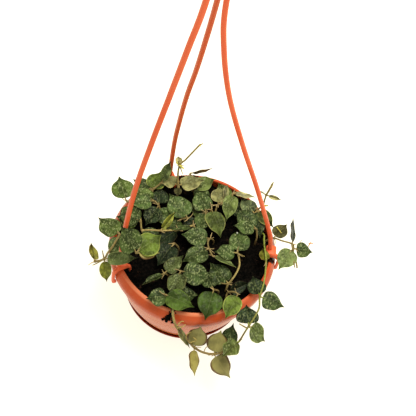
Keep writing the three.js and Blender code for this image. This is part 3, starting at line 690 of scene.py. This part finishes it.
def point_on_leaf(tree, value):
    """Where a point of the flat blade goes: out along the leaf's own directions, as far sideways as
    its outline reaches there, and lifted by its cup, its ripples and its skin, less its sag."""
    # Each row is one step: the new value, what is done, and the values that it is done with.
    for name, operation, *terms in (
            ("plain", "SUBTRACT", 1.0, "spade"),
            ("round_half", "MULTIPLY", "round_share", "plain"),
            ("spade_half", "MULTIPLY", "spade_share", "spade"),
            ("half", "ADD", "round_half", "spade_half"),
            ("sideways", "MULTIPLY", "half", "blade_width"),
            ("along_blade", "MULTIPLY", "along", "blade_length"),
            ("forward", "ADD", "stalk", "along_blade"),
            ("sag", "MULTIPLY", "droop", "blade_length"),
            ("along_squared", "MULTIPLY", "along", "along"),
            ("sag", "MULTIPLY", "sag", "along_squared"),
            ("half_squared", "MULTIPLY", "half", "half"),
            ("cupping", "MULTIPLY", "cup", "blade_width"),
            ("cupping", "MULTIPLY", "cupping", "half_squared"),
            ("turns", "MULTIPLY", "along", 9.0),
            ("turns", "ADD", "turns", "phase"),
            ("wave", "SINE", "turns"),
            ("wave", "MULTIPLY", "wave", "half_squared"),
            ("rippling", "MULTIPLY", "ripple", "blade_width"),
            ("rippling", "MULTIPLY", "wave", "rippling"),
            ("lift", "ADD", "cupping", "rippling"),
            ("lift", "SUBTRACT", "lift", "sag"),
            ("lift", "ADD", "lift", "skin")):
        value[name] = add_node(tree, "ShaderNodeMath", {
            k: value.get(term, term) for k, term in enumerate(terms)}, operation=operation)
    place = value["node_place"]
    for axis, amount in (("along_axis", "forward"), ("across_axis", "sideways"),
                         ("out_axis", "lift")):
        step = add_node(tree, "ShaderNodeVectorMath", {0: value[axis], "Scale": value[amount]},
                        operation="SCALE")
        place = add_node(tree, "ShaderNodeVectorMath", {0: place, 1: step}, operation="ADD")
    return place


def vine_tree():
    """Grows a vine from its path lines and leaf points: round stems along the lines, and on each
    leaf point a blade laid out by the point's own directions, length, width, droop and cup."""
    tree, given, end = new_tree("Grow vine", {
        "Blade": "Object", "Stem Sides": "Int", "Stalk": "Float", "Bark": "Material",
        "Upper Side": "Material", "Underside": "Material"})
    carried = {
        "BOOLEAN": ("leaf_point", "underside"),
        "FLOAT": ("girth", "along", "blade_length", "blade_width", "spade", "round_share",
                  "spade_share", "droop", "cup", "ripple", "phase", "skin"),
        "FLOAT_VECTOR": ("node_place", "along_axis", "across_axis", "out_axis")}
    value = {name: add_node(tree, "GeometryNodeInputNamedAttribute", {"Name": name}, data_type=kind)
             for kind, names in carried.items() for name in names}
    value["stalk"] = given["Stalk"]
    parts = add_node(tree, "GeometryNodeSeparateGeometry", {
        "Geometry": given["Geometry"], "Selection": value["leaf_point"]}, domain="POINT")
    line = add_node(tree, "GeometryNodeMeshToCurve", {"Mesh": parts.outputs["Inverted"]})
    ring = add_node(tree, "GeometryNodeCurvePrimitiveCircle", {
        "Resolution": given["Stem Sides"], "Radius": 1.0})
    stem = add_node(tree, "GeometryNodeCurveToMesh", {
        "Curve": line, "Profile Curve": ring, "Scale": value["girth"], "Fill Caps": True})
    stem = add_node(tree, "GeometryNodeSetMaterial", {
        "Geometry": stem, "Material": given["Bark"]})

    shape = add_node(tree, "GeometryNodeObjectInfo", {"Object": given["Blade"]})
    leaves = add_node(tree, "GeometryNodeInstanceOnPoints", {
        "Points": parts.outputs["Selection"], "Instance": shape.outputs["Geometry"]})
    leaves = add_node(tree, "GeometryNodeRealizeInstances", {"Geometry": leaves})
    leaves = add_node(tree, "GeometryNodeSetPosition", {
        "Geometry": leaves, "Position": point_on_leaf(tree, value)})
    leaves = add_node(tree, "GeometryNodeSetMaterial", {
        "Geometry": leaves, "Material": given["Upper Side"]})
    leaves = add_node(tree, "GeometryNodeSetMaterial", {
        "Geometry": leaves, "Selection": value["underside"], "Material": given["Underside"]})
    both = add_node(tree, "GeometryNodeJoinGeometry", {"Geometry": stem})
    tree.links.new(leaves.outputs["Geometry"], both.inputs["Geometry"])
    tree.links.new(both.outputs["Geometry"], end.inputs["Geometry"])
    return tree


# Leaves

def share_at(outline, s):
    """Half width of a blade as a share of its width, at share s of its length."""
    return float(np.interp(s, [p[0] for p in outline], [p[1] for p in outline]))


def blade_shape():
    """One blade as a closed grid that carries where each point lies on a leaf. Rows follow one
    another along the midrib, and columns from edge to edge. The skin is thick at the middle and
    thin at the edge. The tip is drawn out a little farther than the part's plain blade."""
    rows = [0, 0.01, 0.03, 0.06, 0.1, 0.16, 0.23, 0.31, 0.39, 0.47, 0.55, 0.63, 0.7, 0.76, 0.81,
            0.85, 0.885, 0.915, 0.94, 0.965, 0.985, 1]
    half_columns = [0.05, 0.16, 0.34, 0.54, 0.74, 0.9, 0.97]
    columns = [-1] + [-c for c in reversed(half_columns)] + [0] + half_columns + [1]
    tip_from, tip_pull = 0.85, 0.7
    values = {name: [] for name in ("along", "across", "round_share", "spade_share", "skin")}
    index = {}
    for side in (1, -1):
        for i, s in enumerate(rows):
            for j, t in enumerate(columns):
                edge = j in (0, len(columns) - 1) or i in (0, len(rows) - 1)
                if side < 0 and edge:
                    index[side, i, j] = index[1, i, j]
                    continue
                index[side, i, j] = len(values["along"])
                thick = BLADE_THICKNESS / 2 * (1 - abs(t)**3)**0.5 * min(1, 8 * (1 - s) + 0.25)
                groove = 0.16 * math.exp(-(t / 0.07)**2) * min(1, 6 * (1 - s))
                values["along"].append(s + tip_pull * max(0, s - tip_from))
                values["across"].append(t)
                values["round_share"].append(t * share_at(ROUND_BLADE, s))
                values["spade_share"].append(t * share_at(SPADE_BLADE, s))
                values["skin"].append(0 if edge else side * MM * max(0.05, thick - side * groove))
    faces, under = [], []
    for side in (1, -1):
        for i in range(len(rows) - 1):
            for j in range(len(columns) - 1):
                corners = [index[side, i, j], index[side, i + 1, j],
                           index[side, i + 1, j + 1], index[side, i, j + 1]]
                faces.append(corners if side > 0 else corners[::-1])
                under.append(side < 0)
    mesh = bpy.data.meshes.new("blade_shape")
    mesh.from_pydata(list(zip(values["along"], values["across"], values["skin"])), [], faces)
    for name, numbers in values.items():
        carry(mesh, name, "FLOAT", numbers)
    carry(mesh, "underside", "BOOLEAN", under, "FACE")
    mesh.shade_smooth()
    return placed("blade_shape", mesh)


def leaf_axes(turn, rise, roll):
    """A leaf's directions: along its midrib, across it to the left, and out of its top."""
    turn, rise, roll = map(math.radians, (turn, rise, roll))
    along = Vector((math.cos(turn) * math.cos(rise), math.sin(turn) * math.cos(rise),
                    math.sin(rise)))
    level = Vector((-math.sin(turn), math.cos(turn), 0))
    across = level * math.cos(roll) + along.cross(level) * math.sin(roll)
    return along, across, along.cross(across)


def leaf_habit(number):
    """How much the leaf of that number droops along its length and is cupped across."""
    return 0.06 + 0.12 * draw(number), 0.5 * draw(number + 400) - 0.3


def leaf_bend(node_points, stem_point, leaf, number):
    """The rise and roll away from its neighbours that the part's source gave this leaf, found by
    trying each pair and seeing which lays the blade's corners on corners of the solid."""
    farthest_off = 1
    # Corners of the solid's blade: share of its length, share of its width, and side
    corners = ((1, 0, 0), (0.36, 0.5, 1), (0.36, 0.5, -1), (0.84, 0.22, 1))
    _, turn, rise, roll, length, width = leaf[:6]
    droop, cup = leaf_habit(number)
    best = None
    for add_rise in range(-25, 26, 5):
        for add_roll in range(-24, 25, 8):
            along, across, out = leaf_axes(turn, rise + add_rise, roll + add_roll)
            off = 0
            for s, share, side in corners:
                lift = (-droop * length * s * s + cup * width * share * share
                        + BLADE_THICKNESS / 2)
                point = (Vector(stem_point) + along * (PETIOLE + s * length)
                         + across * (side * share * width) + out * lift)
                off += np.linalg.norm(node_points - np.array(point), axis=1).min()
            if best is None or off < best[0]:
                best = (off, add_rise, add_roll)
    if best[0] > farthest_off:
        raise RuntimeError(f"leaf {number} isn't on its solid: {best[0]:.2f} mm off")
    return best[1], best[2]


class Sprig:
    """The lines and leaf points that one vine is grown from."""

    def __init__(self, number, vine):
        self.number = number
        self.vine = {**PLAIN_VINE, **vine}
        self.points = []
        self.edges = []
        self.girths = []
        self.tones = []
        self.leaves = []

    def add_line(self, points, girths, tones):
        """A line of points, each with its half width and its tone."""
        start = len(self.points)
        for k, point in enumerate(points):
            self.points.append(Vector(point))
            self.girths.append(girths[k])
            self.tones.append(tones[k])
            if k:
                self.edges.append((start + k - 1, start + k))

    def add_stem(self):
        """The main stem, thinner towards its end, swollen and browner at its leaf nodes."""
        root = self.vine["root"]
        route = [(*root, SOIL_TOP - ROOT_DEPTH), (*root, SOIL_TOP + 3), *self.vine["stem"]]
        per_span = 6
        points = smooth_route(route, per_span)
        bark = np.array(linear(BARK_TONES[self.vine["bark"]]))
        tip_bark = np.array(linear(BARK_TONES[self.vine.get("tip_bark", self.vine["bark"])]))
        brown = np.array(linear("6a5230"))
        below_stem = len(route) - len(self.vine["stem"])
        nodes = {leaf[0] + below_stem for leaf in self.vine["leaves"]}
        girths, tones = [], []
        for k in range(len(points)):
            share = k / (len(points) - 1)
            near = max(math.exp(-((k - n * per_span) / 1.3)**2) for n in nodes)
            girths.append(self.vine["thick"] * (0.96 - 0.06 * share + 0.25 * near))
            stained = 0.5 if points[k][2] < SOIL_TOP + 5 else 0
            skin = bark + (tip_bark - bark) * share**2
            tones.append(skin + (brown - skin) * max(0.55 * near, stained))
        self.add_line(points, girths, tones)

    def add_shoot(self, start, along, bend, length, girth, tone, steps=7):
        """A thin side shoot or rootlet that curves as it goes and thins to half its girth."""
        points, girths = [], []
        for k in range(steps):
            share = k / (steps - 1)
            points.append(Vector(start) + along * length * share + bend * length * share * share)
            girths.append(girth * (1 - 0.5 * share))
        self.add_line(points, girths, [np.array(linear(tone))] * steps)

    def add_spurs(self):
        """The bare side shoots."""
        for point_number, turn, rise, length, girth, tone in self.vine.get("spurs", ()):
            along, _, out = leaf_axes(turn, rise, 0)
            self.add_shoot(self.vine["stem"][point_number], along, out * 0.25, length, girth,
                           BARK_TONES[tone])

    def add_bits(self):
        """The scar, the white dot of painted highlight and the dry roots that lie on the leaves."""
        for route, girth, tone in self.vine.get("bits", ()):
            points = smooth_route(route, 4)
            self.add_line(points, np.linspace(girth, 0.7 * girth, len(points)),
                          [np.array(linear(BARK_TONES[tone]))] * len(points))

    def add_rootlets(self, seed):
        """Small tan roots at the stem's leaf nodes, a seeded few at each."""
        chance = random.Random(seed * 101 + self.number)
        for point_number in sorted({leaf[0] for leaf in self.vine["leaves"]}):
            start = self.vine["stem"][point_number]
            for _ in range(self.vine["rootlets"]):
                turn, rise = chance.uniform(0, 360), chance.uniform(-30, 50)
                along, across, out = leaf_axes(turn, rise, chance.uniform(0, 360))
                bend = across * chance.uniform(-0.6, 0.6) + out * chance.uniform(-0.6, 0.6)
                self.add_shoot(start, along, bend, chance.uniform(2.5, 6.5), 0.5, "ae9a68")

    def add_leaves(self, node_points):
        """The leaf points and the short stalks, numbered as the part's source numbers them."""
        for index, leaf in enumerate(self.vine["leaves"]):
            point_number, turn, rise, roll, length, width, tone = leaf
            number = self.number * 10 + index
            start = Vector(self.vine["stem"][point_number])
            add_rise, add_roll = leaf_bend(node_points, start, leaf, number)
            axes = leaf_axes(turn, rise + add_rise, roll + add_roll)
            droop, cup = leaf_habit(number)
            upper, under, rim, flecks = LEAF_TONES[tone]
            shift = 1.03 + 0.14 * draw(number + 250)
            upper = [c * shift for c in linear(upper)[:3]] + [1]
            self.leaves.append(dict(
                place=start, axes=axes, blade_length=length * MM, blade_width=width * MM,
                droop=droop, cup=cup, tone=upper, under=linear(under), rim=linear(rim),
                flecks=flecks, spade=0.7 * draw(number + 600)**2,
                phase=6.28 * draw(number + 800), ripple=0.1 + 0.18 * draw(number + 900)))
            reach = PETIOLE + 0.06 * length
            stalk = [start, start + axes[0] * 0.5 * reach, start + axes[0] * reach]
            bark = np.array(linear(BARK_TONES[self.vine["bark"]]))
            self.add_line(stalk, [0.68, 0.6, 0.46], [bark] * 3)

    def mesh(self):
        """The lines and leaf points as one mesh that carries what the tree needs."""
        lines, leaves = len(self.points), self.leaves
        points = [p * MM for p in self.points] + [leaf["place"] * MM for leaf in leaves]
        mesh = bpy.data.meshes.new("sprig")
        mesh.from_pydata(points, self.edges, [])
        carry(mesh, "leaf_point", "BOOLEAN", [0] * lines + [1] * len(leaves))
        carry(mesh, "girth", "FLOAT", [g * MM for g in self.girths] + [0] * len(leaves))
        for name in ("tone", "under", "rim"):
            carry(mesh, name, "FLOAT_COLOR", self.tones + [leaf[name] for leaf in leaves])
        for name in ("blade_length", "blade_width", "droop", "cup", "phase", "ripple", "spade",
                     "flecks"):
            carry(mesh, name, "FLOAT", [0] * lines + [leaf[name] for leaf in leaves])
        blank = [(0, 0, 0)] * lines
        carry(mesh, "node_place", "FLOAT_VECTOR", blank + [leaf["place"] * MM for leaf in leaves])
        for k, name in enumerate(("along_axis", "across_axis", "out_axis")):
            carry(mesh, name, "FLOAT_VECTOR", blank + [leaf["axes"][k] for leaf in leaves])
        return mesh


# Peat

def soil_height(x, y):
    """Height of the peat's surface, with the part's own swells and finer lumps."""
    edge = math.hypot(x, y) / SOIL_RADIUS
    swells = 1.2 * math.sin(x / 9 + 1) * math.cos(y / 7) + 0.8 * math.sin(x / 3.7 + y / 5.1)
    lumps = 1.3 * noise.noise(Vector((x / 4, y / 4, 3)))
    lumps += 0.6 * noise.noise(Vector((x, y, 9)) / 1.5)
    return SOIL_TOP + swells + lumps - 2 * edge**4


def peat_fill(sides, rings, material):
    """The peat as one closed piece: its bottom, its side along the wall, and its lumpy top."""
    bottom = FLOOR_TOP + CLEARANCE
    inset = WALL_THICKNESS + CLEARANCE
    levels = [(WALL[0][0] - inset, bottom)]
    levels += [(radius - inset, height) for radius, height in WALL[1:]]
    levels += [(SOIL_RADIUS + 0.4 - SOIL_RADIUS * k / rings, None) for k in range(rings)]
    points = [(0, 0, bottom)]
    for radius, height in levels:
        for i in range(sides):
            angle = 2 * math.pi * i / sides
            x, y = radius * math.cos(angle), radius * math.sin(angle)
            points.append((x, y, soil_height(x, y) if height is None else height))
    points.append((0, 0, soil_height(0, 0)))
    last = len(points) - 1
    faces = []
    for i in range(sides):
        j = (i + 1) % sides
        faces.append([0, 1 + j, 1 + i])
        for k in range(len(levels) - 1):
            low, high = 1 + k * sides, 1 + (k + 1) * sides
            faces.append([low + i, low + j, high + j, high + i])
        faces.append([last - sides + i, last - sides + j, last])
    fill = new_piece("peat_fill", points, faces, material)
    tidy_normals(fill)
    return fill


def crumb_shape():
    """One angular crumb, a unit wide."""
    work = bmesh.new()
    bmesh.ops.create_icosphere(work, subdivisions=1, radius=0.5)
    for k, vert in enumerate(work.verts):
        vert.co *= 0.6 + 0.7 * draw(k + 40)
    mesh = bpy.data.meshes.new("crumb_shape")
    work.to_mesh(mesh)
    work.free()
    return placed("crumb_shape", mesh)


def stuck_crumb(crumb, turn, height, chance):
    """A copy of the crumb, pressed onto the collar's outside, or onto its lip if it is higher."""
    outside = COLLAR[:6]
    over = max(height - LIP_TOP, 0)
    height -= over
    size = chance.uniform(0.5, 1.7)
    radius = float(np.interp(height, [h for _, h in outside], [r for r, _ in outside]))
    radius += 0.12 * size - over
    angle = math.radians(turn)
    place = Vector((radius * math.cos(angle), radius * math.sin(angle), height)) * MM
    axis = Vector((chance.uniform(-1, 1), chance.uniform(-1, 1), 0.5))
    spun = Matrix.Rotation(chance.uniform(0, 6), 4, axis)
    clod = placed("clod", crumb.data.copy())
    clod.data.transform(Matrix.Translation(place) @ spun @ Matrix.Scale(size * MM, 4))
    return clod


# Hanger

def strand(number, route, tree, material):
    """One strand on its route from its clip to the hub, turned as its clip is."""
    turn = math.radians(CLIPS[number][0])
    path = path_piece(f"strand_{number + 1}", smooth_route(route, 14),
                      (math.cos(turn), math.sin(turn), 0))
    return run_tree(path, tree, {
        "Width": STRAND_THICKNESS * MM, "Height": STRAND_WIDTH * MM, "Corner": 1.4 * MM,
        "Corner Steps": 4, "Material": material})


def ceiling_hook(tree, material):
    """The round hook over the hub: a short neck, and a turn that leaves a gap."""
    x, y, _ = HUB
    neck = 10
    centre = HUB_TOP + neck + HOOK_RADIUS
    route = [(x, y, HUB_TOP - 4), (x, y, HUB_TOP + 4)]
    for turn in range(-105, -381, -25):
        angle = math.radians(turn)
        route.append((x + HOOK_RADIUS * math.cos(angle), y,
                      centre + HOOK_RADIUS * math.sin(angle)))
    path = path_piece("hook", smooth_route(route, 6), (0, 1, 0))
    return run_tree(path, tree, {
        "Width": HOOK_THICKNESS * MM, "Height": HOOK_THICKNESS * MM,
        "Corner": (HOOK_THICKNESS / 2 - 0.01) * MM, "Corner Steps": 5, "Material": material})


def pulled_out(outline, width):
    """The points and faces of an outline of radius and height, pulled out sideways."""
    count = len(outline)
    points = [(r, side * width / 2, h) for side in (-1, 1) for r, h in outline]
    faces = [list(range(count))[::-1], list(range(count, 2 * count))]
    for i in range(count):
        j = (i + 1) % count
        faces.append([i, j, count + j, count + i])
    return points, faces


def clip_part(name, outline, width, sideways, turn, material):
    """One moulded part of a clip, on the rim where its strand ends, with softened edges."""
    points, faces = pulled_out(rounded_outline(outline, 1.2, 3, closed=True), width)
    piece = new_piece(name, points, faces, material)
    tidy_normals(piece)
    place = Matrix.Rotation(math.radians(turn), 4, "Z") @ Matrix.Translation((0, sideways * MM, 0))
    piece.data.transform(place)
    bevel = piece.modifiers.new("soft edge", "BEVEL")
    bevel.width = 0.35 * MM
    bevel.segments = 2
    bevel.limit_method = "ANGLE"
    bevel.angle_limit = math.radians(50)
    return baked(piece)


def turned_hub(material):
    """The hub in which the strands meet."""
    outline = [(0, -4), (6, -4), (10, 0), (10, 4), (7, 8), (3.5, 12), (0, 12)]
    piece = turned("hub", rounded_outline(outline, 1.5), 48, material)
    piece.data.transform(Matrix.Translation([c * MM for c in HUB]))
    return piece


# Stage

def add_floor(size):
    """The pale card, just under the saucer."""
    half = size / 2 / MM
    just_under = -0.2
    corners = [(x, y, just_under) for x, y in
               ((-half, -half), (half, -half), (half, half), (-half, half))]
    new_piece("floor", corners, [[0, 1, 2, 3]], white_card("matt_white_card"))


def add_light(context, sky, key):
    """Even light from all round, and one large soft lamp above and behind the pot."""
    world = bpy.data.worlds.new("soft_white_room")
    world.use_nodes = True
    background = world.node_tree.nodes["Background"]
    background.inputs["Color"].default_value = linear("fffdf8")
    background.inputs["Strength"].default_value = sky
    context.scene.world = world
    lamp = bpy.data.lights.new("window_light", "AREA")
    lamp.energy = key
    lamp.size = 0.5
    lamp.color = linear("fff8ec")[:3]
    source = placed("window_light", lamp)
    source.location = (0.12, 0.08, 1.1)
    lit_place = Vector((0, 0, 0.1))
    source.rotation_euler = (lit_place - source.location).to_track_quat("-Z", "Y").to_euler()


def add_camera(context):
    """A pinhole camera at the photograph's viewing angle, fitted to the pot's outlines."""
    elevation, roll, pitch, yaw = map(math.radians, (61.75, 12.444, -3.69, -0.432))
    distance = 768.26
    looked_at = Vector((0, 0, 60))
    focal_pixels = 832.3
    photo_pixels = 416
    sensor = 36
    back = Vector((0, -math.cos(elevation), math.sin(elevation)))
    place = looked_at + back * distance
    side = Vector((1, 0, 0))
    up = back.cross(side)
    turned_back = back * math.cos(yaw) + side * math.sin(yaw)
    side = up.cross(turned_back)
    back = turned_back * math.cos(pitch) + up * math.sin(pitch)
    up = back.cross(side)
    side, up = (side * math.cos(roll) + up * math.sin(roll),
                up * math.cos(roll) - side * math.sin(roll))
    data = bpy.data.cameras.new("photo_camera")
    data.sensor_width = sensor
    data.lens = focal_pixels / photo_pixels * sensor
    data.clip_end = 50
    camera = placed("photo_camera", data)
    axes = Matrix((side, up, back)).transposed().to_4x4()
    camera.matrix_world = Matrix.Translation(place * MM) @ axes
    context.scene.camera = camera


# Settings that a user would change

class HoyaPotSettings(bpy.types.PropertyGroup):
    """Settings of the pot, its saucer and its hanger."""
    sides: bpy.props.IntProperty(
        name="Sides", description="Flat sides round the pot and the saucer",
        default=144, min=36, max=360)
    edge_radius: bpy.props.FloatProperty(
        name="Edge radius", description="Rounding of the moulded edges",
        default=0.9 * MM, min=0, max=3 * MM, unit="LENGTH")
    pot_colour: bpy.props.FloatVectorProperty(
        name="Pot colour", description="Pigment of the pot's plastic",
        default=linear("b24821"), size=4, min=0, max=1, subtype="COLOR")
    saucer_colour: bpy.props.FloatVectorProperty(
        name="Saucer colour", description="Pigment of the saucer's plastic, in the pot's shade",
        default=linear("8f2c0c"), size=4, min=0, max=1, subtype="COLOR")
    hanger_colour: bpy.props.FloatVectorProperty(
        name="Hanger colour", description="Pigment of the hanger's plastic",
        default=linear("da5b32"), size=4, min=0, max=1, subtype="COLOR")


class HoyaPeatSettings(bpy.types.PropertyGroup):
    """Settings of the peat."""
    density: bpy.props.FloatProperty(
        name="Crumbs per square metre", description="How densely crumbs lie on the peat",
        default=110000, min=0, max=300000)
    largest: bpy.props.FloatProperty(
        name="Largest crumb", description="Width of the largest crumb",
        default=2.6 * MM, min=0.5 * MM, max=6 * MM, unit="LENGTH")
    seed: bpy.props.IntProperty(name="Seed", description="Draw of the crumbs' places", default=7)


class HoyaVineSettings(bpy.types.PropertyGroup):
    """Settings of the vines."""
    stem_sides: bpy.props.IntProperty(
        name="Stem sides", description="Flat sides round each stem", default=8, min=3, max=24)
    seed: bpy.props.IntProperty(name="Seed", description="Draw of the rootlets", default=3)


class HoyaStageSettings(bpy.types.PropertyGroup):
    """Settings of the floor and the light."""
    floor_size: bpy.props.FloatProperty(
        name="Floor size", description="Width of the pale floor",
        default=8, min=1, max=40, unit="LENGTH")
    sky: bpy.props.FloatProperty(
        name="Soft light", description="Strength of the light from all round",
        default=0.62, min=0, max=4)
    key: bpy.props.FloatProperty(
        name="Main light", description="Power of the large soft lamp",
        default=13, min=0, max=200, unit="POWER")


# Operators

class HOYA_OT_saucer(bpy.types.Operator):
    """Makes the shallow saucer under the pot"""
    bl_idname = "hoya.saucer"
    bl_label = "Saucer"

    def execute(self, context):
        settings = context.scene.hoya_pot
        profile = [(0, 0), (50.8, 0), (51.5, 0.1), (53.5, 0.6), (57, 8), (58.55, 12.2),
                   (58.2, 12.5), (57.3, 12.5), (57, 12.3), (55.6, 8.4), (53.4, 3), (51.5, 2),
                   (0, 2)]
        plastic = moulded_plastic("moulded_polypropylene_saucer", settings.saucer_colour, "983314",
                                  0.3)
        piece = turned("dish", rounded_outline(profile, 0.8), settings.sides, plastic)
        finished(piece, "saucer", slot="saucer_plastic")
        return {"FINISHED"}


class HOYA_OT_pot(bpy.types.Operator):
    """Makes the tapering pot with its collar, rounded lip and foot ring"""
    bl_idname = "hoya.pot"
    bl_label = "Pot"

    def execute(self, context):
        settings = context.scene.hoya_pot
        foot = [(0, 4), (46, 4), (46, 2.3), (49, 2.3), (50, 4)]
        inside = [(radius - WALL_THICKNESS, height) for radius, height in WALL[1:]][::-1]
        bottom = [(WALL[0][0] - WALL_THICKNESS, FLOOR_TOP), (0, FLOOR_TOP)]
        outline = foot + WALL + COLLAR + inside + bottom
        # The lip's paler front is a painted highlight, and the dark spot under the right-hand clip is
        # painted shade.
        plastic = moulded_plastic("moulded_polypropylene_pot", settings.pot_colour, "bc522b", 0.26,
                                  thin_below=WALL[-1][1] - 0.4, clip_shade_spot=(70, 1, 92))
        profile = rounded_outline(outline, settings.edge_radius / MM)
        piece = turned("flower_pot", profile, settings.sides, plastic)
        finished(piece, "pot", slot="pot_plastic")
        return {"FINISHED"}


class HOYA_OT_peat(bpy.types.Operator):
    """Fills the pot with peat and strews crumbs over it"""
    bl_idname = "hoya.peat"
    bl_label = "Peat"

    def execute(self, context):
        settings = context.scene.hoya_peat
        peat = damp_peat("damp_milled_peat")
        fill = peat_fill(sides=160, rings=56, material=peat)
        crumbs = placed("peat_crumbs", fill.data.copy())
        crumb = crumb_shape()
        run_tree(crumbs, crumb_tree(), {
            "Crumb": crumb, "Density": settings.density, "Smallest": 0.5 * MM,
            "Largest": settings.largest, "Seed": settings.seed, "Material": peat})
        bpy.data.objects.remove(crumb)
        finished(fill, "soil", slot="peat")
        finished(crumbs, slot="peat")
        return {"FINISHED"}


class HOYA_OT_smear(bpy.types.Operator):
    """Sticks ragged streaks of peat to the front of the collar, and lays a row of dark crumbs along the
    back of its lip
    """
    bl_idname = "hoya.smear"
    bl_label = "Peat on the collar"

    def execute(self, context):
        chance = random.Random(11)
        crumb = crumb_shape()
        pieces = []
        for start_turn, start_height, end_turn, end_height, count, spread in PEAT_SMEARS:
            for _ in range(count):
                share = chance.random()
                turn = start_turn + (end_turn - start_turn) * share + spread * chance.gauss(0, 0.6)
                height = start_height + (end_height - start_height) * share
                height += spread * chance.gauss(0, 0.8)
                pieces.append(stuck_crumb(crumb, turn, height, chance))
        bpy.data.objects.remove(crumb)
        piece = joined("peat_on_collar", pieces)
        piece.data.materials.append(bpy.data.materials["damp_milled_peat"])
        finished(piece, slot="peat")
        return {"FINISHED"}


class HOYA_OT_hanger(bpy.types.Operator):
    """Makes the three strands with their rim clips, the hub and the ceiling hook"""
    bl_idname = "hoya.hanger"
    bl_label = "Hanger"

    def execute(self, context):
        settings = context.scene.hoya_pot
        plastic = moulded_plastic("flexible_moulded_polyethylene", settings.hanger_colour, "e26840",
                                  0.36, shaded_behind=14)
        tree = rod_tree()
        pieces = [strand(k, route, tree, plastic) for k, route in enumerate(STRANDS)]
        pieces += [ceiling_hook(tree, plastic), turned_hub(plastic)]
        for turn, side in CLIPS:
            pieces.append(clip_part("block", CLIP_BLOCK, 9, side * 1.5, turn, plastic))
            pieces.append(clip_part("prong", CLIP_HOOK, 2.6, side * HOOK_OFFSET, turn, plastic))
        piece = joined("strand_hanger", pieces)
        piece.data.shade_smooth()
        finished(piece, "hanger", slot="hanger_plastic")
        return {"FINISHED"}


class HOYA_OT_vines(bpy.types.Operator):
    """Grows the leafy vines with their stalks, side shoots and rootlets"""
    bl_idname = "hoya.vines"
    bl_label = "Vines"

    def execute(self, context):
        settings = context.scene.hoya_vines
        tree = vine_tree()
        blade = blade_shape()
        values = {"Blade": blade, "Stem Sides": settings.stem_sides, "Stalk": PETIOLE * MM,
                  "Bark": vine_bark("green_vine_bark"),
                  "Upper Side": leaf_upper("waxy_leaf_upper_side"),
                  "Underside": leaf_underside("waxy_leaf_underside")}
        for number, vine in enumerate(VINES):
            node = f"hoya_vine_{number + 1:02d}"
            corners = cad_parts[node].data.vertices
            sprig = Sprig(number, vine)
            sprig.add_stem()
            sprig.add_leaves(np.array([v.co[:] for v in corners]) / MM)
            sprig.add_spurs()
            sprig.add_bits()
            sprig.add_rootlets(settings.seed)
            piece = run_tree(placed(f"vine_{number + 1:02d}", sprig.mesh()), tree, values)
            piece.data.shade_smooth()
            finished(piece, node, slot="hoya_leaf")
        bpy.data.objects.remove(blade)
        return {"FINISHED"}


class HOYA_OT_stage(bpy.types.Operator):
    """Sets up the pale floor, the soft light and the camera"""
    bl_idname = "hoya.stage"
    bl_label = "Stage"

    def execute(self, context):
        settings = context.scene.hoya_stage
        add_floor(settings.floor_size)
        add_light(context, settings.sky, settings.key)
        add_camera(context)
        context.scene.view_settings.view_transform = "Standard"
        return {"FINISHED"}


class HOYA_PT_panel(bpy.types.Panel):
    """Lists the pieces and their settings"""
    bl_idname = "HOYA_PT_panel"
    bl_label = "Potted hoya"
    bl_space_type = "VIEW_3D"
    bl_region_type = "UI"
    bl_category = "Hoya"

    def draw(self, context):
        for group in SETTINGS:
            settings = getattr(context.scene, group)
            for name in settings.__annotations__:
                self.layout.prop(settings, name)
        for operator in OPERATORS:
            self.layout.operator(operator.bl_idname)


SETTINGS = {
    "hoya_pot": HoyaPotSettings,
    "hoya_peat": HoyaPeatSettings,
    "hoya_vines": HoyaVineSettings,
    "hoya_stage": HoyaStageSettings,
}
OPERATORS = (HOYA_OT_saucer, HOYA_OT_pot, HOYA_OT_peat, HOYA_OT_smear, HOYA_OT_hanger,
             HOYA_OT_vines, HOYA_OT_stage)


def register():
    for cls in (*SETTINGS.values(), *OPERATORS, HOYA_PT_panel):
        bpy.utils.register_class(cls)
    for name, group in SETTINGS.items():
        setattr(bpy.types.Scene, name, bpy.props.PointerProperty(type=group))


def unregister():
    for name in SETTINGS:
        delattr(bpy.types.Scene, name)
    for cls in reversed((*SETTINGS.values(), *OPERATORS, HOYA_PT_panel)):
        bpy.utils.unregister_class(cls)


def main():
    register()
    bpy.ops.hoya.saucer()
    bpy.ops.hoya.pot()
    bpy.ops.hoya.peat()
    bpy.ops.hoya.smear()
    bpy.ops.hoya.hanger()
    bpy.ops.hoya.vines()
    bpy.ops.hoya.stage()


if __name__ == "__main__":
    main()
